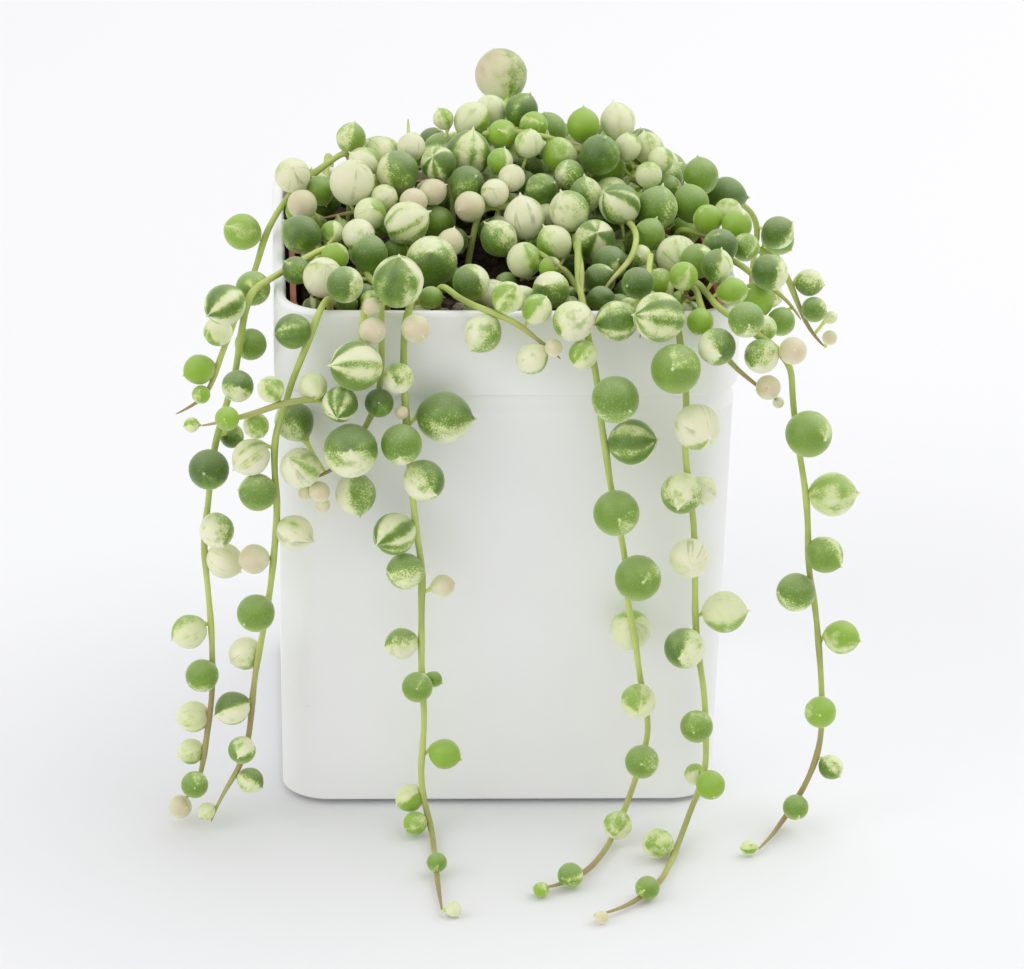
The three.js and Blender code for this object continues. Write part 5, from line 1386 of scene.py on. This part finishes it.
def stem_finish(plant):
    """Olive green stems that turn brown in patches, with fine lengthwise ribs."""
    look = Finish("stem", 0.5, subsurface_weight=0.15, subsurface_scale=0.001)
    place = look.attribute("place", "Vector")
    age = look.parts("Color", look.attribute("tone", "Color"))[0]
    patches = look.noise(look.where, 70.0, 3.0)
    ribs = look.noise(look.add("Mapping", {0: place, 3: (3, 3, 0.15)}), 2.0)
    colour = look.coats(
        plant.young_stem,
        (look.ramp(patches, 0.35, 0.65), plant.old_stem),
        (look.ramp(patches * 0.6 + age, 0.85, 1.4), plant.brown_stem),
        (look.ramp(ribs, 0.5, 0.7) * 0.22, plant.brown_stem))
    return look.done(colour, ribs, 0.3, 0.0002)


def pot_finish(pots):
    """White moulded plastic with a soft gloss and a faint waviness."""
    look = Finish("cover_pot", 0.3)
    white = pots.cover_colour
    cloud = look.noise(look.where, 35.0, 3.0)
    gloss = look.noise(look.where, 220.0, 4.0) * 0.16 + 0.24
    look.set_inputs(look.shader, {"Roughness": gloss})
    colour = look.coats(white, (look.ramp(cloud, 0.3, 0.7), darker(white, 0.97)))
    return look.done(colour, look.noise(look.where, 500.0), 0.06, 0.0002)


def terracotta_finish(pots):
    """Dull terracotta plastic, scuffed paler in patches."""
    look = Finish("nursery_pot", 0.65)
    cloud = look.noise(look.where, 90.0, 4.0)
    dust = look.ramp(look.noise(look.where, 900.0), 0.6, 0.75)
    colour = look.coats(darker(pots.liner_colour, 0.7),
                        (look.ramp(cloud, 0.3, 0.7), pots.liner_colour), (dust * 0.3, DUST))
    return look.done(colour, cloud, 0.2, 0.0003)


def earth_finish(name, dark, light, scale):
    """Crumbs of one kind, mottled between two colours."""
    look = Finish(name, 0.95)
    crumbs = look.noise(look.where, scale, 5.0)
    return look.done(look.coats(dark, (look.ramp(crumbs, 0.35, 0.65), light)), crumbs, 0.7, 0.0006)


def floor_finish(stage):
    """A matt pale surface with the faintest clouds."""
    look = Finish("floor", 0.8)
    cloud = look.noise(look.where, 6.0)
    return look.done(look.coats(stage.floor_colour, (cloud, darker(stage.floor_colour, 0.985))))


def tint(red, green, blue):
    """A colour on the screen's scale of 0 to 255, as Blender's linear one."""
    return tuple((v / 255 / 12.92) if v < 11 else ((v / 255 + 0.055) / 1.055) ** 2.4
                 for v in (red, green, blue))


def colour_of(name, description, *screen):
    return bpy.props.FloatVectorProperty(name=name, description=description, subtype="COLOR",
                                         size=3, min=0, max=1, default=tint(*screen))


def count_of(name, description, default, most):
    return bpy.props.IntProperty(name=name, description=description, default=default, min=0,
                                 max=most)


def size_of(name, description, default, most, unit="NONE"):
    return bpy.props.FloatProperty(name=name, description=description, default=default, min=0,
                                   max=most, unit=unit)


class PotSettings(bpy.types.PropertyGroup):
    """Colours and counts of the two pots and the soil."""

    cover_colour: colour_of("Cover pot", "Colour of the white cover pot", 250, 250, 250)
    liner_colour: colour_of("Nursery pot", "Colour of the nursery pot", 190, 122, 96)
    soil_dark: colour_of("Soil, dark", "Darkest colour of the soil", 28, 20, 17)
    soil_light: colour_of("Soil, light", "Lightest colour of the soil", 74, 54, 44)
    bark_colour: colour_of("Bark", "Colour of the bark crumbs", 96, 66, 50)
    pumice_colour: colour_of("Pumice", "Colour of the pumice crumbs", 176, 164, 150)
    grit_count: count_of("Crumbs", "Crumbs on the soil", 420, 2000)


class PlantSettings(bpy.types.PropertyGroup):
    """Colours of the pearls and stems, and how finely they are drawn."""

    light_green: colour_of("Light green", "Green of the paler pearls", 139, 175, 59)
    deep_green: colour_of("Deep green", "Green of the darkest pearls", 64, 98, 18)
    yellow_green: colour_of("Yellow green", "Green of pearls that glow", 150, 186, 52)
    # The waxy bloom's own colour, also used for the painted highlight on the pearls' tops
    bloom: colour_of("Bloom", "Colour of the waxy specks and sheen", 210, 223, 178)
    pale_green: colour_of("Pale green", "Green at the edge of the cream", 210, 222, 154)
    cream: colour_of("Cream", "Colour of the cream sectors", 238, 238, 210)
    # Painted floor light on the pearls' cream undersides
    lit_cream: colour_of("Lit cream", "Cream of undersides that the floor lights", 255, 255, 232)
    blush: colour_of("Blush", "Colour of rosy pearls", 206, 181, 158)
    line_green: colour_of("Stripes", "Colour of the fine stripes", 104, 128, 66)
    young_stem: colour_of("Young stem", "Colour of the young stems", 200, 216, 120)
    old_stem: colour_of("Old stem", "Colour of the older stems", 166, 184, 92)
    brown_stem: colour_of("Stem, brown", "Colour of the corky patches", 168, 144, 104)
    smoothness: count_of("Smoothness", "Subdivisions of the strands", 2, 3)
    fill_smoothness: count_of("Smoothness inside", "Subdivisions of the pearls inside", 1, 3)


class StageSettings(bpy.types.PropertyGroup):
    """The floor and the light."""

    floor_colour: colour_of("Floor", "Colour of the floor", 243, 243, 246)
    sky_strength: size_of("Sky", "Strength of the even light", 0.735, 5)
    key_power: size_of("Key light", "Power of the key light", 7.5, 1000, "POWER")
    key_size: size_of("Key light size", "Side of the key light", 1.5, 10, "LENGTH")
    fill_power: size_of("Side light", "Power of the side light", 9, 1000, "POWER")
    fill_size: size_of("Side light size", "Side of the side light", 1.6, 10, "LENGTH")


GROUPS = {"pearls_pots": PotSettings, "pearls_plant": PlantSettings,
          "pearls_stage": StageSettings}
grown = []


def grow():
    """The settled strands, with the added pearls by strand, worked out once."""
    if not grown:
        strands = plan()
        settle(strands)
        space = filled_space(strands)
        draw = drawer(FILL_SEED + 1)
        extra = {}
        for strand in strands:
            for pearl in strand.pearls:
                pearl.tone = pearl.tone or drawn_tone(draw)
            if strand.name in HIDDEN_TRAILS:
                extra[strand.name] = thicken(strand, space)
        grown.extend((strands, extra, fill_crown(strands, space)))
    return grown


def plant_materials(plant):
    made = [bpy.data.materials.get(name) for name in ("pearl", "stem")]
    if None in made:
        made = [pearl_finish(plant), stem_finish(plant)]
    return made


class PEARLS_OT_cover_pot(bpy.types.Operator):
    """Builds the square cover pot with its band and rounded edges"""

    bl_idname = "pearls.cover_pot"
    bl_label = "Cover pot"

    def execute(self, context):
        finish = pot_finish(context.scene.pearls_pots)
        piece = to_piece(pot_body(), "pot_shell", [finish])
        piece.data.set_sharp_from_angle(angle=math.radians(30))
        bevel = piece.modifiers.new("edges", "BEVEL")
        bevel.width = POT_BEVEL * MM
        bevel.segments = 2
        bevel.limit_method = "ANGLE"
        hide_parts("cover_pot")
        return {"FINISHED"}


class PEARLS_OT_nursery_pot(bpy.types.Operator):
    """Gives the nursery pot its terracotta finish"""

    bl_idname = "pearls.nursery_pot"
    bl_label = "Nursery pot"

    def execute(self, context):
        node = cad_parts["nursery_pot"]
        node.material_slots[0].material = terracotta_finish(context.scene.pearls_pots)
        return {"FINISHED"}


class PEARLS_OT_soil(bpy.types.Operator):
    """Builds the soil with its crumbs of bark and pumice"""

    bl_idname = "pearls.soil"
    bl_label = "Soil"

    def execute(self, context):
        pots = context.scene.pearls_pots
        bm = soil_body()
        add_grit(bm, pots.grit_count)
        bark, pumice = pots.bark_colour, pots.pumice_colour
        materials = [earth_finish("soil", pots.soil_dark, pots.soil_light, 900.0),
                     earth_finish("bark", darker(bark, 0.35), bark, 1400.0),
                     earth_finish("pumice", darker(pumice, 0.6), pumice, 2500.0)]
        piece = to_piece(bm, "potting_mix", materials)
        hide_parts("soil")
        return {"FINISHED"}


class PEARLS_OT_strands(bpy.types.Operator):
    """Builds each strand: its stem, and its pearls on their stalks"""

    bl_idname = "pearls.strands"
    bl_label = "Strands"

    def execute(self, context):
        plant = context.scene.pearls_plant
        strands, extra, _ = grow()
        form = pearl_form()
        draw = drawer(HIDDEN_SEED + 2)
        noise.seed_set(HIDDEN_SEED)
        for strand in strands:
            bm = bmesh.new()
            layers = marked(bm)
            swollen = {p.joint for p in strand.pearls}
            add_stem(bm, strand.stem, swollen, draw(), layers)
            if strand.name in CROSSING_STEMS:
                line = crossing_line(CROSSING_STEMS[strand.name])
                add_stem(bm, line, (), draw(), layers)
            pearls = strand.pearls + extra.get(strand.name, [])
            add_strand_pearls(bm, strand, pearls, form, draw, layers)
            piece = to_piece(bm, "strand_" + strand.name, plant_materials(plant), plant.smoothness)
            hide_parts(strand.name)
        bpy.data.meshes.remove(form)
        return {"FINISHED"}


class PEARLS_OT_filling(bpy.types.Operator):
    """Builds the pearls that lie between and under the ones of the strands"""

    bl_idname = "pearls.filling"
    bl_label = "Pearls between"

    def execute(self, context):
        plant = context.scene.pearls_plant
        strands, _, filling = grow()
        form = pearl_form()
        draw = drawer(HIDDEN_SEED + 3)
        noise.seed_set(FILL_SEED)
        bm = bmesh.new()
        layers = marked(bm)
        for strand in strands:
            add_strand_pearls(bm, strand, filling.get(strand.name, []), form, draw, layers)
        piece = to_piece(bm, "inner_pearls", plant_materials(plant), plant.fill_smoothness)
        bpy.data.meshes.remove(form)
        return {"FINISHED"}


class PEARLS_OT_stage(bpy.types.Operator):
    """Sets the pale floor, the soft light and the camera"""

    bl_idname = "pearls.stage"
    bl_label = "Stage"

    def execute(self, context):
        scene = context.scene
        settings = scene.pearls_stage
        bm = bmesh.new()
        bmesh.ops.create_grid(bm, x_segments=1, y_segments=1, size=FLOOR_HALF * MM)
        floor = to_scene("floor", to_mesh(bm, "floor"))
        floor.data.materials.append(floor_finish(settings))
        scene.world = bpy.data.worlds.new("soft light")
        scene.world.use_nodes = True
        sky = scene.world.node_tree.nodes["Background"]
        sky.inputs["Color"].default_value = (1, 1, 1, 1)
        sky.inputs["Strength"].default_value = settings.sky_strength
        for name, place, power, size in (
                ("key", KEY_PLACE, settings.key_power, settings.key_size),
                ("fill", FILL_PLACE, settings.fill_power, settings.fill_size)):
            light = to_scene(name, bpy.data.lights.new(name, "AREA"))
            light.data.energy = power
            light.data.size = size
            light.location = place
            towards = Vector(LIGHT_AIM) - light.location
            light.rotation_euler = towards.to_track_quat("-Z", "Y").to_euler()
        yaw, down, roll = map(math.radians, (CAMERA_YAW, CAMERA_DOWN, CAMERA_ROLL))
        camera = scene.camera = to_scene("camera", bpy.data.cameras.new("camera"))
        camera.data.sensor_width = SENSOR_WIDTH
        camera.data.lens = CAMERA_FOCUS / IMAGE_WIDTH * SENSOR_WIDTH
        camera.data.clip_start = 0.05
        camera.data.clip_end = 20
        turn = (Matrix.Rotation(yaw, 4, "Z") @ Matrix.Rotation(math.pi / 2 - down, 4, "X")
                @ Matrix.Rotation(roll, 4, "Z"))
        back = Matrix.Translation((0, 0, CAMERA_FAR * MM))
        camera.matrix_world = Matrix.Translation(Vector(CAMERA_AIM) * MM) @ turn @ back
        scene.view_settings.view_transform = "Standard"
        return {"FINISHED"}


class PEARLS_PT_panel(bpy.types.Panel):
    """Lists the pieces and their settings"""

    bl_label = "Potted string of pearls"
    bl_idname = "PEARLS_PT_panel"
    bl_space_type = "VIEW_3D"
    bl_region_type = "UI"
    bl_category = "Pearls"

    def draw(self, context):
        for operator in OPERATORS:
            self.layout.operator(operator.bl_idname)
        for name, kind in GROUPS.items():
            box = self.layout.box()
            for setting in kind.__annotations__:
                box.prop(getattr(context.scene, name), setting)


OPERATORS = (PEARLS_OT_cover_pot, PEARLS_OT_nursery_pot, PEARLS_OT_soil, PEARLS_OT_strands,
             PEARLS_OT_filling, PEARLS_OT_stage)
CLASSES = (*GROUPS.values(), *OPERATORS, PEARLS_PT_panel)


def register():
    for cls in CLASSES:
        bpy.utils.register_class(cls)
    for name, kind in GROUPS.items():
        setattr(bpy.types.Scene, name, bpy.props.PointerProperty(type=kind))


def unregister():
    for name in GROUPS:
        delattr(bpy.types.Scene, name)
    for cls in reversed(CLASSES):
        bpy.utils.unregister_class(cls)


def main():
    register()
    bpy.ops.pearls.cover_pot()
    bpy.ops.pearls.nursery_pot()
    bpy.ops.pearls.soil()
    bpy.ops.pearls.strands()
    bpy.ops.pearls.filling()
    bpy.ops.pearls.stage()


if __name__ == "__main__":
    main()
